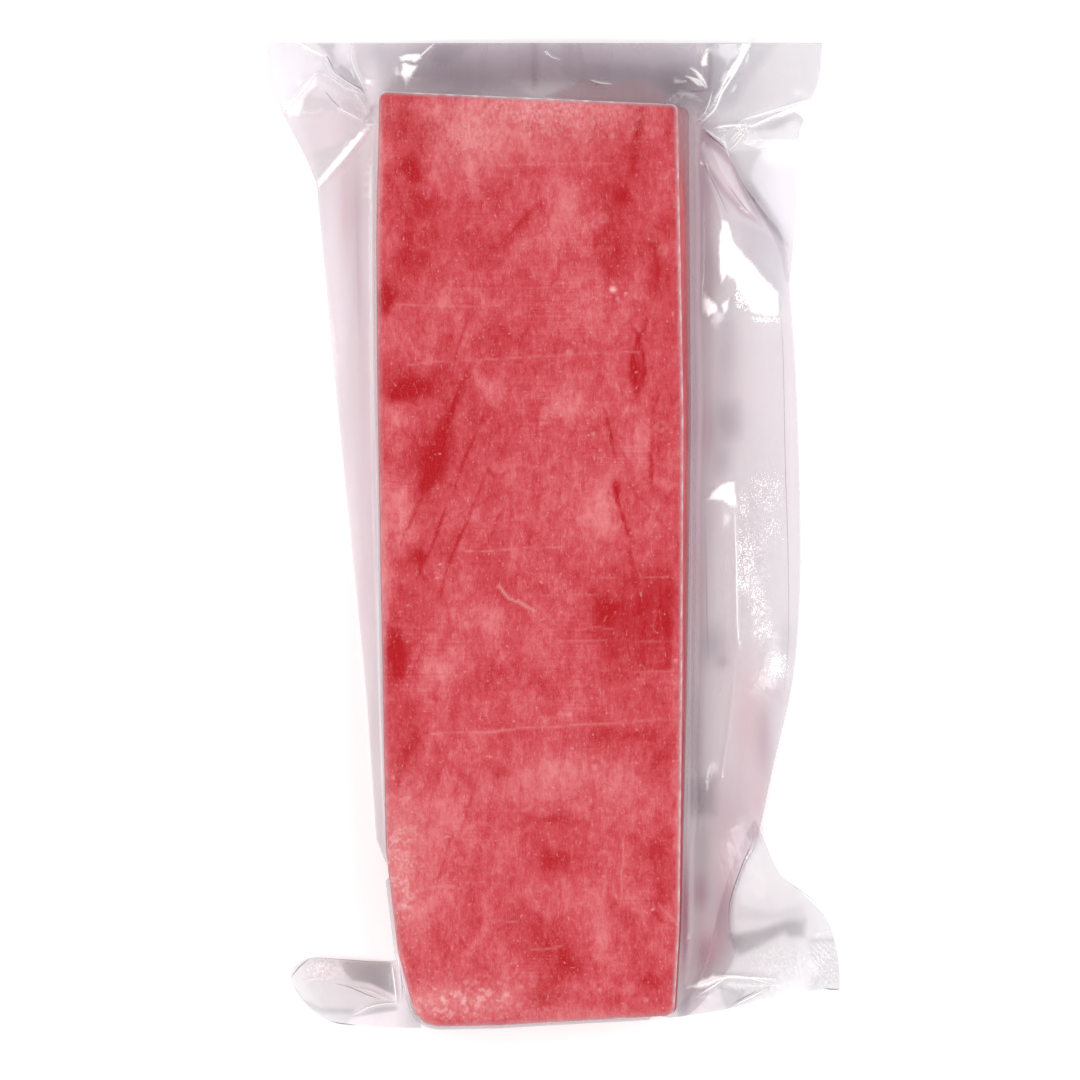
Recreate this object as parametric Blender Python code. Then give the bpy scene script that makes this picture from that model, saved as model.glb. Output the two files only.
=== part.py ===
"""Vacuum-packed saku block: a sawn, frozen block of tuna in a clear bag with flat fins round it.

The pack lies on its back. Z is up, Y runs along the block towards the bag's mouth, and the origin is
the middle of the pack's outline, on the surface that it lies on. Sizes are in millimetres. The bag is
one skin: it covers the block's top and sides and runs out into the fins. It is open under the block,
because a skin that closed all round would be a hollow with no way in.
"""

import math

import bmesh
import bpy
from mathutils import Vector

MM = 0.001

# The sawn block. Each corner is x, y and corner radius, seen from above and going anticlockwise from
# the mouth's right. The right side leans out towards the base, most at the mouth's end.
BLOCK_THICKNESS = 24.0
BLOCK_CHAMFER = 0.9
TOP_CORNERS = (
    (30.1, 107.4, 2.0),
    (-43.3, 110.7, 3.0),
    (-44.1, 75.0, 300.0),
    (-43.8, 35.0, 300.0),
    (-41.7, -78.0, 60.0),
    (-38.7, -104.0, 30.0),
    (-33.9, -122.3, 7.0),
    (-14.0, -121.9, 60.0),
    (28.8, -119.4, 4.0),
    (30.5, -98.0, 100.0),
    (31.1, -35.0, 300.0),
)
BASE_CORNERS = (
    (33.7, 107.1, 2.0),
    (-43.6, 110.8, 3.0),
    (-44.4, 75.0, 300.0),
    (-44.1, 35.0, 300.0),
    (-42.0, -78.0, 60.0),
    (-39.0, -104.0, 30.0),
    (-34.1, -122.5, 7.0),
    (-14.0, -122.1, 60.0),
    (29.6, -119.6, 4.0),
    (31.3, -98.0, 100.0),
    (32.5, -35.0, 300.0),
)
CORNER_STEPS = 9

# The bag's skin round the block, the fins where its two webs lie on each other, and the tent where
# the upper web leaves the block's side to meet the lower one.
CLEARANCE = 0.25
SKIN = 0.5
SKIN_CHAMFER = 1.2
FIN_THICKNESS = 0.8
FOOT_MARGIN = 1.0
TENT_RADIUS = 5.0
TENT_SHARE = 0.55
TENT_STEPS = 3

# The bag's outline from above, anticlockwise from the mouth's right corner. Each stretch is one smooth
# curve through its points, and stretches meet at corners. Where the fins are folded away under the
# block, the bag's edge follows the block's foot instead, from near one place to near another.
MOUTH = ((67.0, 123.2), (-71.5, 123.2))
TOP_LEFT_FLAP = ((-71.5, 123.2), (-71.2, 114.0), (-68.6, 107.0), (-62.5, 95.5), (-59.4, 88.2))
LEFT_FIN = ((-59.4, 88.2), (-52.6, 17.0), (-47.2, -37.0), (-44.4, -76.0))
LEFT_FOOT = ((-43.2, -86.0), (-40.6, -103.2))
BOTTOM_LEFT_EAR = (
    (-42.6, -105.4),
    (-51.0, -106.2),
    (-61.0, -105.4),
    (-65.7, -109.2),
    (-63.3, -115.2),
    (-57.0, -120.8),
    (-50.0, -122.5),
    (-38.6, -123.1),
    (-34.0, -123.1),
)
BOTTOM_FOOT = ((-31.0, -122.0), (24.0, -119.5))
BOTTOM_RIGHT_EDGE = (
    (28.5, -120.6),
    (34.6, -119.9),
    (42.5, -118.4),
    (55.0, -115.1),
    (66.0, -113.4),
    (71.5, -113.2),
)
BOTTOM_RIGHT_FLAP = (
    (71.5, -113.2),
    (70.9, -105.5),
    (68.3, -96.0),
    (62.0, -89.2),
    (56.0, -83.8),
    (51.2, -75.5),
)
RIGHT_FIN = (
    (51.2, -75.5),
    (54.9, -57.0),
    (59.6, -36.0),
    (61.4, -14.0),
    (61.4, 10.0),
    (60.4, 40.0),
    (58.9, 62.0),
    (60.0, 80.0),
    (61.2, 94.0),
    (62.2, 103.0),
)
RIGHT_NOTCH = ((62.2, 103.0), (58.4, 106.0), (64.3, 108.8))
TOP_RIGHT_FLAP = ((64.3, 108.8), (66.3, 115.0), (67.0, 123.2))

# The skin is drawn along lines from the block's edge to the bag's edge. Their starts are evened out
# along the block, so that they don't crowd together at its corners.
STATIONS = 168
EVENING_PASSES = 10

# How the fins lie: a low rise away from the block, long waves, and curls where the film lifts, each
# of them x, y, radius and height.
FIN_REST = 1.0
FIN_RISE = 2.4
FIN_RISE_REACH = 16.0
WAVE_HEIGHT = 0.9
WAVE_LENGTH = 64.0
WAVE_SLANT = 0.4
CURLS = (
    (-66.0, 112.0, 20.0, 5.5),
    (66.0, 112.0, 20.0, 4.5),
    (60.0, 30.0, 30.0, 3.6),
    (60.0, -30.0, 20.0, 2.4),
    (-64.0, -112.0, 13.0, 7.0),
    (70.0, -104.0, 17.0, 4.5),
    (-6.0, 124.0, 26.0, 2.2),
)
UNDERSIDE_SHARES = (0.2, 0.45, 0.7, 1.0)
UPPER_SHARES = (1.0, 0.65, 0.3)


def rounded_outline(corners):
    """A closed outline whose corners are arcs, with the same number of points at each corner."""
    points = []
    for index, (x, y, radius) in enumerate(corners):
        corner = Vector((x, y))
        before = (Vector(corners[index - 1][:2]) - corner).normalized()
        after = (Vector(corners[(index + 1) % len(corners)][:2]) - corner).normalized()
        half_angle = before.angle(after) / 2
        centre = corner + (before + after).normalized() * radius / math.sin(half_angle)
        spoke = corner + before * radius / math.tan(half_angle) - centre
        turn = math.pi - 2 * half_angle
        for step in range(CORNER_STEPS):
            angle = turn * step / (CORNER_STEPS - 1)
            cosine, sine = math.cos(angle), math.sin(angle)
            turned = Vector((spoke.x * cosine - spoke.y * sine, spoke.x * sine + spoke.y * cosine))
            points.append(centre + turned)
    return points


def smooth_curve(controls, steps=12):
    """A Catmull-Rom curve through the control points, ends included."""
    controls = [Vector(control) for control in controls]
    before_first = 2 * controls[0] - controls[1]
    after_last = 2 * controls[-1] - controls[-2]
    padded = [before_first, *controls, after_last]
    points = []
    for a, b, c, d in zip(padded, padded[1:], padded[2:], padded[3:]):
        for step in range(steps):
            t = step / steps
            curved = (2 * a - 5 * b + 4 * c - d) * t**2 / 2 + (3 * b - a - 3 * c + d) * t**3 / 2
            points.append(b + (c - a) * t / 2 + curved)
    return [*points, controls[-1]]


def lengths_along(points):
    """Distance from the first point to each point, along the line through them."""
    lengths = [0.0]
    for a, b in zip(points, points[1:]):
        lengths.append(lengths[-1] + (b - a).length)
    return lengths


def evenly(points, count):
    """Points at equal distances along the line, the first one included and the last one left out."""
    lengths = lengths_along(points)
    spaced = []
    piece = 0
    for index in range(count):
        wanted = lengths[-1] * index / count
        while lengths[piece + 1] < wanted:
            piece += 1
        share = (wanted - lengths[piece]) / (lengths[piece + 1] - lengths[piece])
        spaced.append(points[piece].lerp(points[piece + 1], share))
    return spaced


def outward(points, index):
    """Unit normal of an anticlockwise closed outline at one of its points."""
    along = points[(index + 1) % len(points)] - points[index - 1]
    return Vector((along.y, -along.x)).normalized()


class BlockOutline:
    """The outlines of the block's base and top, paired point by point."""

    def __init__(self):
        self.base = rounded_outline(BASE_CORNERS)
        self.top = rounded_outline(TOP_CORNERS)
        self.starts = lengths_along([*self.base, self.base[0]])
        self.length = self.starts[-1]

    def nearest(self, place):
        """How far round the base outline its nearest point to a place is."""
        best = None
        for index, start in enumerate(self.base):
            side = self.base[(index + 1) % len(self.base)] - start
            share = min(1.0, max(0.0, (place - start).dot(side) / side.length_squared))
            distance = (place - start - side * share).length
            if best is None or distance < best[0]:
                best = (distance, self.starts[index] + side.length * share)
        return best[1]

    def at(self, spot):
        """The base point this far round the outline, and the top point above it."""
        spot %= self.length
        index = 0
        while self.starts[index + 1] <= spot:
            index += 1
        share = (spot - self.starts[index]) / (self.starts[index + 1] - self.starts[index])
        following = (index + 1) % len(self.base)
        base = self.base[index].lerp(self.base[following], share)
        return base, self.top[index].lerp(self.top[following], share)

    def foot_between(self, start, end, steps=40):
        """The line a foot's margin outside the base, from near one place to near another."""
        first, last = self.nearest(Vector(start)), self.nearest(Vector(end))
        bases = [self.at(first + (last - first) * i / steps)[0] for i in range(-1, steps + 2)]
        return [bases[i] + outward(bases, i) * FOOT_MARGIN for i in range(1, steps + 2)]


def bag_edge(block):
    """Points along the bag's outline, evenly spaced in each stretch, with one on every corner."""
    stretches = [
        smooth_curve(MOUTH),
        smooth_curve(TOP_LEFT_FLAP),
        smooth_curve(LEFT_FIN),
        block.foot_between(*LEFT_FOOT),
        smooth_curve(BOTTOM_LEFT_EAR),
        block.foot_between(*BOTTOM_FOOT),
        smooth_curve(BOTTOM_RIGHT_EDGE),
        smooth_curve(BOTTOM_RIGHT_FLAP),
        smooth_curve(RIGHT_FIN),
        smooth_curve(RIGHT_NOTCH),
        smooth_curve(TOP_RIGHT_FLAP),
    ]
    for stretch, following in zip(stretches, stretches[1:] + stretches[:1]):
        if (stretch[-1] - following[0]).length > MM:
            stretch.append(following[0])
    total = sum(lengths_along(stretch)[-1] for stretch in stretches)
    edge = []
    for stretch in stretches:
        edge += evenly(stretch, max(3, round(STATIONS * lengths_along(stretch)[-1] / total)))
    return edge


def starts_on_block(edge, block):
    """How far round the block each line of the skin starts, evened out and always increasing."""
    spots = []
    for place in edge:
        spot = block.nearest(place)
        while spots and spot < spots[-1] - block.length / 2:
            spot += block.length
        spots.append(spot)
    for _ in range(EVENING_PASSES):
        before = [spots[-1] - block.length, *spots[:-1]]
        after = [*spots[1:], spots[0] + block.length]
        spots = [(a + b + c) / 3 for a, b, c in zip(before, spots, after)]
    return spots


class Station:
    """One line of the bag's skin, from the block's edge out to the bag's edge."""

    def __init__(self, edge, base, top, normal):
        self.edge = edge
        self.base = base
        self.top = top
        self.normal = normal
        self.wall = base + normal * (CLEARANCE + SKIN)
        self.reach = (edge - self.wall).length
        self.tent = min(TENT_RADIUS, TENT_SHARE * self.reach)

    def beside_block(self, gap, height):
        """A point this far outside the block's side, at this height."""
        share = min(1.0, height / BLOCK_THICKNESS)
        place = self.base.lerp(self.top, share) + self.normal * gap
        return Vector((place.x, place.y, height))

    def on_fin(self, share, side):
        """A point of the fin's upper face (side 1) or underside (side -1), this share of the way out."""
        place = self.wall.lerp(self.edge, share)
        height = fin_height(place, share * self.reach) + side * FIN_THICKNESS / 2
        return Vector((place.x, place.y, height))

    def on_upper_fin(self, share):
        """A point of the fin's upper face between the tent's foot and the bag's edge."""
        foot = self.tent / self.reach
        return self.on_fin(foot + (1 - foot) * share, 1)

    def on_tent(self, turn):
        """A point of the quarter round from the fin, at turn 0, up to the block's side, at turn 1."""
        angle = turn * math.pi / 2
        point = self.on_fin(self.tent * (1 - math.sin(angle)) / self.reach, 1)
        return point + Vector((0, 0, self.tent * (1 - math.cos(angle))))


def fin_height(place, distance):
    """Height of the fin's middle at a place, this far out from the block's side."""
    risen = 1 - math.exp(-((distance / FIN_RISE_REACH) ** 2))
    wave = math.sin(2 * math.pi * (place.y + WAVE_SLANT * place.x) / WAVE_LENGTH)
    height = FIN_REST + risen * (FIN_RISE + WAVE_HEIGHT * wave)
    for x, y, radius, lift in CURLS:
        apart = (place - Vector((x, y))).length / radius
        height += risen * lift * math.exp(-(apart**2))
    return height


def make_stations():
    block = BlockOutline()
    edge = bag_edge(block)
    pairs = [block.at(spot) for spot in starts_on_block(edge, block)]
    bases = [base for base, _ in pairs]
    return [
        Station(place, base, top, outward(bases, index))
        for index, (place, (base, top)) in enumerate(zip(edge, pairs))
    ]


def block_rings(stations):
    """The block's rings, from its foot up."""
    return [
        [s.beside_block(-BLOCK_CHAMFER, 0.0) for s in stations],
        [s.beside_block(0.0, BLOCK_CHAMFER) for s in stations],
        [s.beside_block(0.0, BLOCK_THICKNESS - BLOCK_CHAMFER) for s in stations],
        [s.beside_block(-BLOCK_CHAMFER, BLOCK_THICKNESS) for s in stations],
    ]


def bag_rings(stations):
    """The skin's rings: down inside the pocket, out under the fins, and back over the block."""
    inside, outside = CLEARANCE, CLEARANCE + SKIN
    ceiling, roof = BLOCK_THICKNESS + inside, BLOCK_THICKNESS + outside
    rings = [
        [s.beside_block(inside - BLOCK_CHAMFER, ceiling) for s in stations],
        [s.beside_block(inside, ceiling - BLOCK_CHAMFER) for s in stations],
        [s.beside_block(inside, 0.0) for s in stations],
        [s.beside_block(outside, 0.0) for s in stations],
    ]
    rings += [[s.on_fin(share, -1) for s in stations] for share in UNDERSIDE_SHARES]
    rings += [[s.on_upper_fin(share) for s in stations] for share in UPPER_SHARES]
    rings += [[s.on_tent(step / TENT_STEPS) for s in stations] for step in range(TENT_STEPS + 1)]
    rings.append([s.beside_block(outside, roof - SKIN_CHAMFER) for s in stations])
    rings.append([s.beside_block(outside - SKIN_CHAMFER, roof) for s in stations])
    return rings


def closed_skin(rings):
    """A body through the rings, which have equally many points, with a face on the first and the last."""
    bm = bmesh.new()
    ring = [bm.verts.new(point) for point in rings[0]]
    bm.faces.new(ring)
    for points in rings[1:]:
        edges = [bm.edges.get((a, b)) for a, b in zip(ring, ring[1:] + ring[:1])]
        grown = bmesh.ops.extrude_edge_only(bm, edges=edges)["geom"]
        new = {item for item in grown if isinstance(item, bmesh.types.BMVert)}
        ring = [next(e.other_vert(v) for e in v.link_edges if e.other_vert(v) in new) for v in ring]
        for vert, point in zip(ring, points):
            vert.co = point
    bm.faces.new(ring)
    return bm


def finished(name, bm, material):
    """The bmesh as an object in the scene, in metres, with one material."""
    bmesh.ops.scale(bm, vec=(MM, MM, MM), verts=bm.verts)
    bmesh.ops.triangulate(bm, faces=bm.faces)
    bmesh.ops.recalc_face_normals(bm, faces=bm.faces)
    mesh = bpy.data.meshes.new(name)
    bm.to_mesh(mesh)
    bm.free()
    mesh.materials.append(material)
    mesh.shade_smooth()
    mesh.set_sharp_from_angle(angle=math.radians(35))
    piece = bpy.data.objects.new(name, mesh)
    bpy.context.scene.collection.objects.link(piece)
    return piece


def plain_material(name, colour, roughness, alpha=1.0):
    material = bpy.data.materials.new(name)
    material.use_nodes = True
    shader = material.node_tree.nodes["Principled BSDF"]
    shader.inputs["Base Color"].default_value = (*colour, 1.0)
    shader.inputs["Roughness"].default_value = roughness
    shader.inputs["Metallic"].default_value = 0.0
    shader.inputs["Alpha"].default_value = alpha
    return material


def make_block(stations):
    flesh = plain_material("frozen_tuna", (0.65, 0.10, 0.12), 0.45)
    return finished("tuna_block", closed_skin(block_rings(stations)), flesh)


def make_bag(stations):
    film = plain_material("clear_film", (0.80, 0.74, 0.78), 0.12, alpha=0.35)
    return finished("vacuum_bag", closed_skin(bag_rings(stations)), film)


def main():
    for old in list(bpy.data.objects):
        bpy.data.objects.remove(old)
    stations = make_stations()
    make_block(stations)
    make_bag(stations)


main()
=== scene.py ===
"""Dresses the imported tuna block: frozen flesh, clear film with its folds and flaps, and a plain studio.

Outlines are in millimetres in the pack's own frame, seen from above. The marks on the flesh and the
folds of the film are placed in the photo's pixels: photo_place turns those into millimetres, and
photo_pixels turns millimetres into them.
"""

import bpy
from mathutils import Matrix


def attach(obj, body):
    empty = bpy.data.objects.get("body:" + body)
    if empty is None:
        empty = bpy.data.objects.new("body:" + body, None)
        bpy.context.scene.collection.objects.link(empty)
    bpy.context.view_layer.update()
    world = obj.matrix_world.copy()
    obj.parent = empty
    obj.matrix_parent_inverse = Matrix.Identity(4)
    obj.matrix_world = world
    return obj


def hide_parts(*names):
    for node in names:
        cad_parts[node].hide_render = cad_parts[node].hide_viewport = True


bl_info = {
    "name": "Vacuum-packed tuna block",
    "version": (1, 0, 0),
    "blender": (4, 5, 0),
    "location": "3D View > Sidebar > Saku",
    "description": "Frozen flesh, clear film and a plain studio round the packed tuna block",
    "category": "Object",
}

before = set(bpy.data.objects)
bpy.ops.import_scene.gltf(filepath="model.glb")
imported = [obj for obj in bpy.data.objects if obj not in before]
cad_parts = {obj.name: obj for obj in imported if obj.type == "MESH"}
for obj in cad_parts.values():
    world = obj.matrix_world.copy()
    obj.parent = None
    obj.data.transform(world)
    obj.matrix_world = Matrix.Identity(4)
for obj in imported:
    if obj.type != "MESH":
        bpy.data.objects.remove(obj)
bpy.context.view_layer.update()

import math

import bmesh
import bpy
import numpy as np
from bpy.props import FloatProperty, FloatVectorProperty, IntProperty, PointerProperty
from mathutils import Vector, noise

MM = 0.001
BLOCK_NODE, BAG_NODE = "tuna_block", "vacuum_bag"

# The photo's scale, the pixel that lies over the pack's origin, and the middle of the picture.
PHOTO_MM = 0.25
PHOTO_ORIGIN = (554.0, 536.0)
PHOTO_MIDDLE = 540.0

# The sawn block's shown face and its base: each corner is x, y and radius, anticlockwise from the
# mouth's right.
TOP_CORNERS = (
    (30.6, 107.4, 1.5),
    (-43.3, 110.7, 1.7),
    (-44.1, 75.0, 300.0),
    (-43.8, 35.0, 300.0),
    (-41.7, -78.0, 60.0),
    (-38.7, -104.0, 30.0),
    (-33.9, -122.3, 7.0),
    (-14.0, -121.9, 60.0),
    (29.8, -119.4, 2.2),
    (31.1, -98.0, 100.0),
    (31.8, -35.0, 300.0),
    (32.1, 30.0, 300.0),
)
BASE_CORNERS = (
    (33.7, 107.1, 1.5),
    (-43.6, 110.8, 1.7),
    (-44.4, 75.0, 300.0),
    (-44.1, 35.0, 300.0),
    (-42.0, -78.0, 60.0),
    (-39.0, -104.0, 30.0),
    (-34.1, -122.5, 7.0),
    (-14.0, -122.1, 60.0),
    (30.5, -119.6, 2.4),
    (31.8, -98.0, 100.0),
    (33.3, -35.0, 300.0),
    (34.2, 30.0, 300.0),
)
CORNER_STEPS = 9

# Which corners lie along the mouth's end and along the far end, going right.
MOUTH_END = (1, 0)
FAR_END = (6, 7, 8)

# Marks on the flesh, in the photo's pixels. Deep and pale patches are x, y, half width, half height,
# lean to the right going up, in degrees, and strength.
DEEP_PATCHES = (
    (408, 168, 13, 15, 0, 0.9),
    (416, 177, 6, 6, 0, 0.7),
    (424, 205, 16, 12, 20, 0.55),
    (407, 250, 9, 34, 12, 0.45),
    (421, 262, 7, 30, 22, 0.35),
    (384, 298, 9, 12, 0, 2.2),
    (403, 122, 16, 22, 0, 0.6),
    (428, 130, 16, 16, 0, 0.4),
    (521, 226, 8, 34, 50, 0.35),
    (480, 250, 22, 30, 0, 0.22),
    (525, 172, 30, 6, 0, 0.2),
    (626, 186, 26, 26, 0, 0.42),
    (623, 199, 8, 8, 0, 0.45),
    (615, 250, 16, 34, 0, 0.42),
    (656, 258, 5, 24, 0, 0.6),
    (650, 290, 6, 14, 0, 0.4),
    (667, 130, 10, 24, 0, 0.3),
    (668, 300, 8, 80, 0, 0.25),
    (510, 335, 26, 20, 0, 0.3),
    (412, 388, 25, 13, 0, 1.0),
    (396, 395, 9, 8, 0, 0.7),
    (424, 455, 17, 28, 8, 0.55),
    (436, 460, 9, 24, 20, 1.3),
    (425, 485, 5, 8, 15, 1.0),
    (452, 415, 4, 30, 25, 0.45),
    (470, 440, 30, 40, 20, 0.2),
    (419, 558, 10, 11, 0, 0.9),
    (398, 680, 20, 60, 10, 0.25),
    (396, 650, 8, 20, 0, 1.3),
    (400, 668, 6, 10, 0, 0.9),
    (605, 610, 12, 16, 0, 0.85),
    (636, 610, 36, 56, 0, 0.65),
    (667, 625, 6, 40, 0, 0.7),
    (617, 491, 4, 9, -10, 0.7),
    (636, 372, 8, 20, 0, 0.8),
    (635, 392, 4, 8, 0, 0.5),
    (612, 655, 8, 16, 0, 0.35),
    (520, 670, 60, 22, 0, 0.15),
    (408, 760, 11, 26, 20, 0.5),
    (620, 734, 48, 8, 2, 0.5),
    (656, 764, 18, 24, 0, 0.35),
    (500, 771, 12, 9, 0, 0.5),
    (556, 820, 30, 9, -4, 0.42),
    (552, 857, 17, 13, 0, 0.7),
    (660, 843, 13, 19, 30, 0.42),
    (661, 890, 13, 15, 0, 0.42),
    (538, 930, 26, 18, 0, 0.42),
    (565, 962, 22, 18, 20, 0.6),
    (545, 994, 19, 16, -20, 0.6),
    (648, 978, 12, 8, 0, 0.5),
    (600, 1000, 40, 10, 0, 0.3),
)
PALE_PATCHES = (
    (520, 108, 110, 14, -4, 0.3),
    (470, 135, 34, 26, 0, 0.25),
    (520, 145, 50, 12, 10, 0.35),
    (473, 175, 5, 34, -10, 0.5),
    (436, 168, 4, 18, 12, 0.3),
    (380, 160, 4, 60, 0, 0.35),
    (560, 215, 24, 40, 0, 0.3),
    (450, 300, 30, 20, 0, 0.2),
    (585, 320, 26, 34, 0, 0.3),
    (574, 405, 24, 18, 0, 0.45),
    (395, 425, 12, 16, 0, 0.3),
    (400, 515, 16, 26, 0, 0.55),
    (490, 390, 20, 14, 0, 0.3),
    (598, 520, 22, 36, 0, 0.5),
    (640, 445, 14, 34, 0, 0.3),
    (655, 520, 12, 20, 0, 0.25),
    (384, 560, 5, 70, 0, 0.5),
    (495, 622, 24, 12, 0, 0.35),
    (440, 668, 30, 22, 0, 0.4),
    (674, 640, 4, 50, 0, 0.35),
    (450, 800, 32, 50, 12, 0.35),
    (560, 770, 40, 16, 0, 0.3),
    (400, 860, 14, 50, -6, 0.45),
    (430, 900, 20, 60, 8, 0.25),
    (602, 880, 20, 60, 0, 0.25),
    (625, 790, 30, 30, 0, 0.25),
    (600, 945, 12, 30, 0, 0.25),
    (460, 1000, 60, 12, 0, 0.3),
    (676, 800, 4, 90, 0, 0.4),
)

# Veins and other thin lines in the flesh: points in the photo's pixels, half width and strength.
VEINS = (
    (((642, 106), (640, 124), (635, 142), (633, 175)), 3.2, 0.75),
    (((628, 320), (637, 336), (643, 356), (645, 372), (638, 390)), 1.3, 0.8),
    (((649, 315), (643, 330), (637, 340), (633, 356), (633, 376), (637, 390)), 1.5, 0.8),
    (((605, 408), (608, 425), (611, 440), (619, 468)), 1.3, 0.75),
    (((614, 478), (617, 500), (623, 519), (629, 535), (634, 545)), 1.6, 0.75),
    (((621, 472), (635, 494), (652, 508), (664, 530)), 1.0, 0.4),
    (((656, 398), (652, 420), (651, 440), (650, 455), (650, 495)), 1.4, 0.5),
    (((654, 430), (650, 470), (654, 500)), 1.0, 0.3),
    (((627, 545), (634, 575), (640, 600)), 2.2, 0.4),
    (((470, 314), (460, 345), (452, 372)), 1.2, 0.4),
    (((477, 355), (458, 392), (445, 437), (436, 466), (425, 494)), 1.8, 0.6),
    (((487, 408), (470, 447), (458, 480), (452, 500)), 1.2, 0.45),
    (((492, 460), (480, 490), (458, 543), (447, 570), (440, 600)), 1.2, 0.6),
    (((451, 497), (440, 525), (431, 549), (417, 578)), 1.3, 0.65),
    (((425, 492), (411, 523), (397, 553)), 1.2, 0.6),
    (((507, 503), (495, 525), (488, 545)), 1.0, 0.35),
    (((545, 203), (525, 218), (505, 240), (496, 252)), 1.8, 0.28),
    (((505, 640), (494, 660), (488, 676)), 1.4, 0.4),
    (((430, 640), (418, 660), (408, 690)), 1.3, 0.3),
    (((412, 740), (402, 765), (396, 790)), 2.2, 0.45),
    (((452, 745), (440, 770), (432, 800)), 1.2, 0.3),
    (((484, 760), (470, 800), (456, 850)), 1.2, 0.3),
    (((460, 820), (446, 850), (436, 890)), 1.1, 0.3),
    (((586, 950), (596, 968), (600, 985)), 1.8, 0.4),
    (((648, 905), (660, 918), (672, 924)), 1.0, 0.6),
    (((639, 600), (642, 630), (640, 660)), 1.6, 0.35),
    (((656, 560), (660, 600), (656, 650)), 1.6, 0.35),
)
SAW_LINES = (
    (((407, 366), (440, 363), (507, 359), (570, 355), (620, 353), (640, 352)), 0.6, 0.22),
    (((397, 305), (430, 307), (499, 307)), 0.6, 0.19),
    (((460, 549), (476, 552), (513, 549), (562, 547)), 0.6, 0.28),
    (((499, 586), (508, 597), (522, 604), (534, 611)), 1.0, 0.6),
    (((430, 733), (483, 732), (502, 729), (569, 725), (620, 722), (677, 718)), 0.6, 0.28),
    (((484, 732), (492, 731), (503, 729)), 0.98, 0.38),
    (((500, 167), (560, 165), (610, 166)), 0.68, 0.19),
    (((623, 838), (622, 870), (621, 900)), 0.68, 0.26),
    (((532, 949), (548, 947), (564, 944)), 0.68, 0.3),
    (((485, 920), (500, 919), (517, 920)), 0.68, 0.22),
    (((658, 903), (669, 914), (677, 923)), 0.75, 0.38),
    (((430, 886), (446, 885), (462, 887)), 0.75, 0.22),
    (((584, 628), (600, 627), (612, 628)), 0.6, 0.22),
    (((590, 577), (630, 578), (668, 577)), 0.45, 0.19),
    (((560, 640), (620, 641), (672, 640)), 0.45, 0.15),
    (((600, 670), (640, 671), (674, 671)), 0.45, 0.15),
    (((520, 595), (560, 596), (600, 594)), 0.45, 0.11),
)

# White flecks and frozen beads: x, y, radius and strength. Rings: x, y, radius and strength.
FLECKS = (
    (612, 290, 3.4, 1.0),
    (617, 300, 2.0, 0.6),
    (625, 295, 1.8, 0.7),
    (613, 283, 1.4, 0.5),
    (441, 564, 1.3, 0.9),
    (652, 908, 1.3, 0.9),
    (594, 766, 3.0, 0.4),
    (569, 354, 4.0, 0.35),
    (569, 714, 2.0, 0.5),
    (443, 997, 2.6, 0.8),
    (489, 991, 4.0, 0.7),
    (507, 993, 3.0, 0.6),
    (464, 999, 3.0, 0.5),
    (420, 1008, 2.6, 0.5),
    (435, 1012, 1.6, 0.8),
    (478, 1004, 2.6, 0.5),
    (452, 990, 2.4, 0.4),
    (518, 1004, 2.4, 0.4),
    (600, 988, 2.2, 0.4),
    (646, 998, 2.6, 0.35),
    (521, 914, 1.4, 0.6),
    (394, 777, 2.2, 0.5),
    (402, 905, 5.0, 0.45),
    (389, 880, 3.0, 0.4),
    (688, 994, 2.4, 0.5),
    (530, 136, 2.4, 0.4),
    (612, 137, 2.6, 0.35),
    (593, 435, 2.0, 0.4),
    (600, 451, 1.6, 0.5),
    (675, 660, 2.0, 0.6),
)
RINGS = (
    (652, 236, 5, 0.11),
    (662, 252, 4, 0.2),
    (603, 220, 4, 0.2),
    (564, 770, 9, 0.12),
    (594, 765, 10, 0.12),
    (660, 427, 4, 0.14),
)

# Frost lies on the mouth's end, the left edge and the bottom: x, y, half width, half height and
# strength. Pits, in the same form, cover the bottom left corner and lightly the mouth's end.
FROST_PATCHES = (
    (540, 112, 100, 26, 0.75),
    (470, 135, 40, 32, 0.6),
    (388, 112, 12, 12, 0.4),
    (377, 210, 5, 110, 0.6),
    (377, 520, 4, 100, 0.4),
    (398, 865, 20, 70, 0.6),
    (455, 1000, 70, 18, 0.6),
    (560, 1012, 110, 8, 0.4),
    (560, 780, 60, 30, 0.15),
)
PIT_PATCHES = (
    (396, 870, 22, 80, 1.0),
    (450, 998, 80, 22, 1.0),
    (530, 120, 110, 30, 0.4),
)

# The film. The fins' two webs are this far from the middle between them, and the film lies this far
# off the block and the floor. Its tent is where the upper web leaves the block's side to meet the
# lower one: a quarter round of this radius, but no more than this share of the fin's width.
WEB_GAP = 0.1
FILM_CLEARANCE = 0.12
FLOOR_CLEARANCE = 0.03
FOOT_MARGIN = 1.0
TENT_RADIUS = 4.6
TENT_SHARE = 0.55
FILM_EDGE = 0.9

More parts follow.
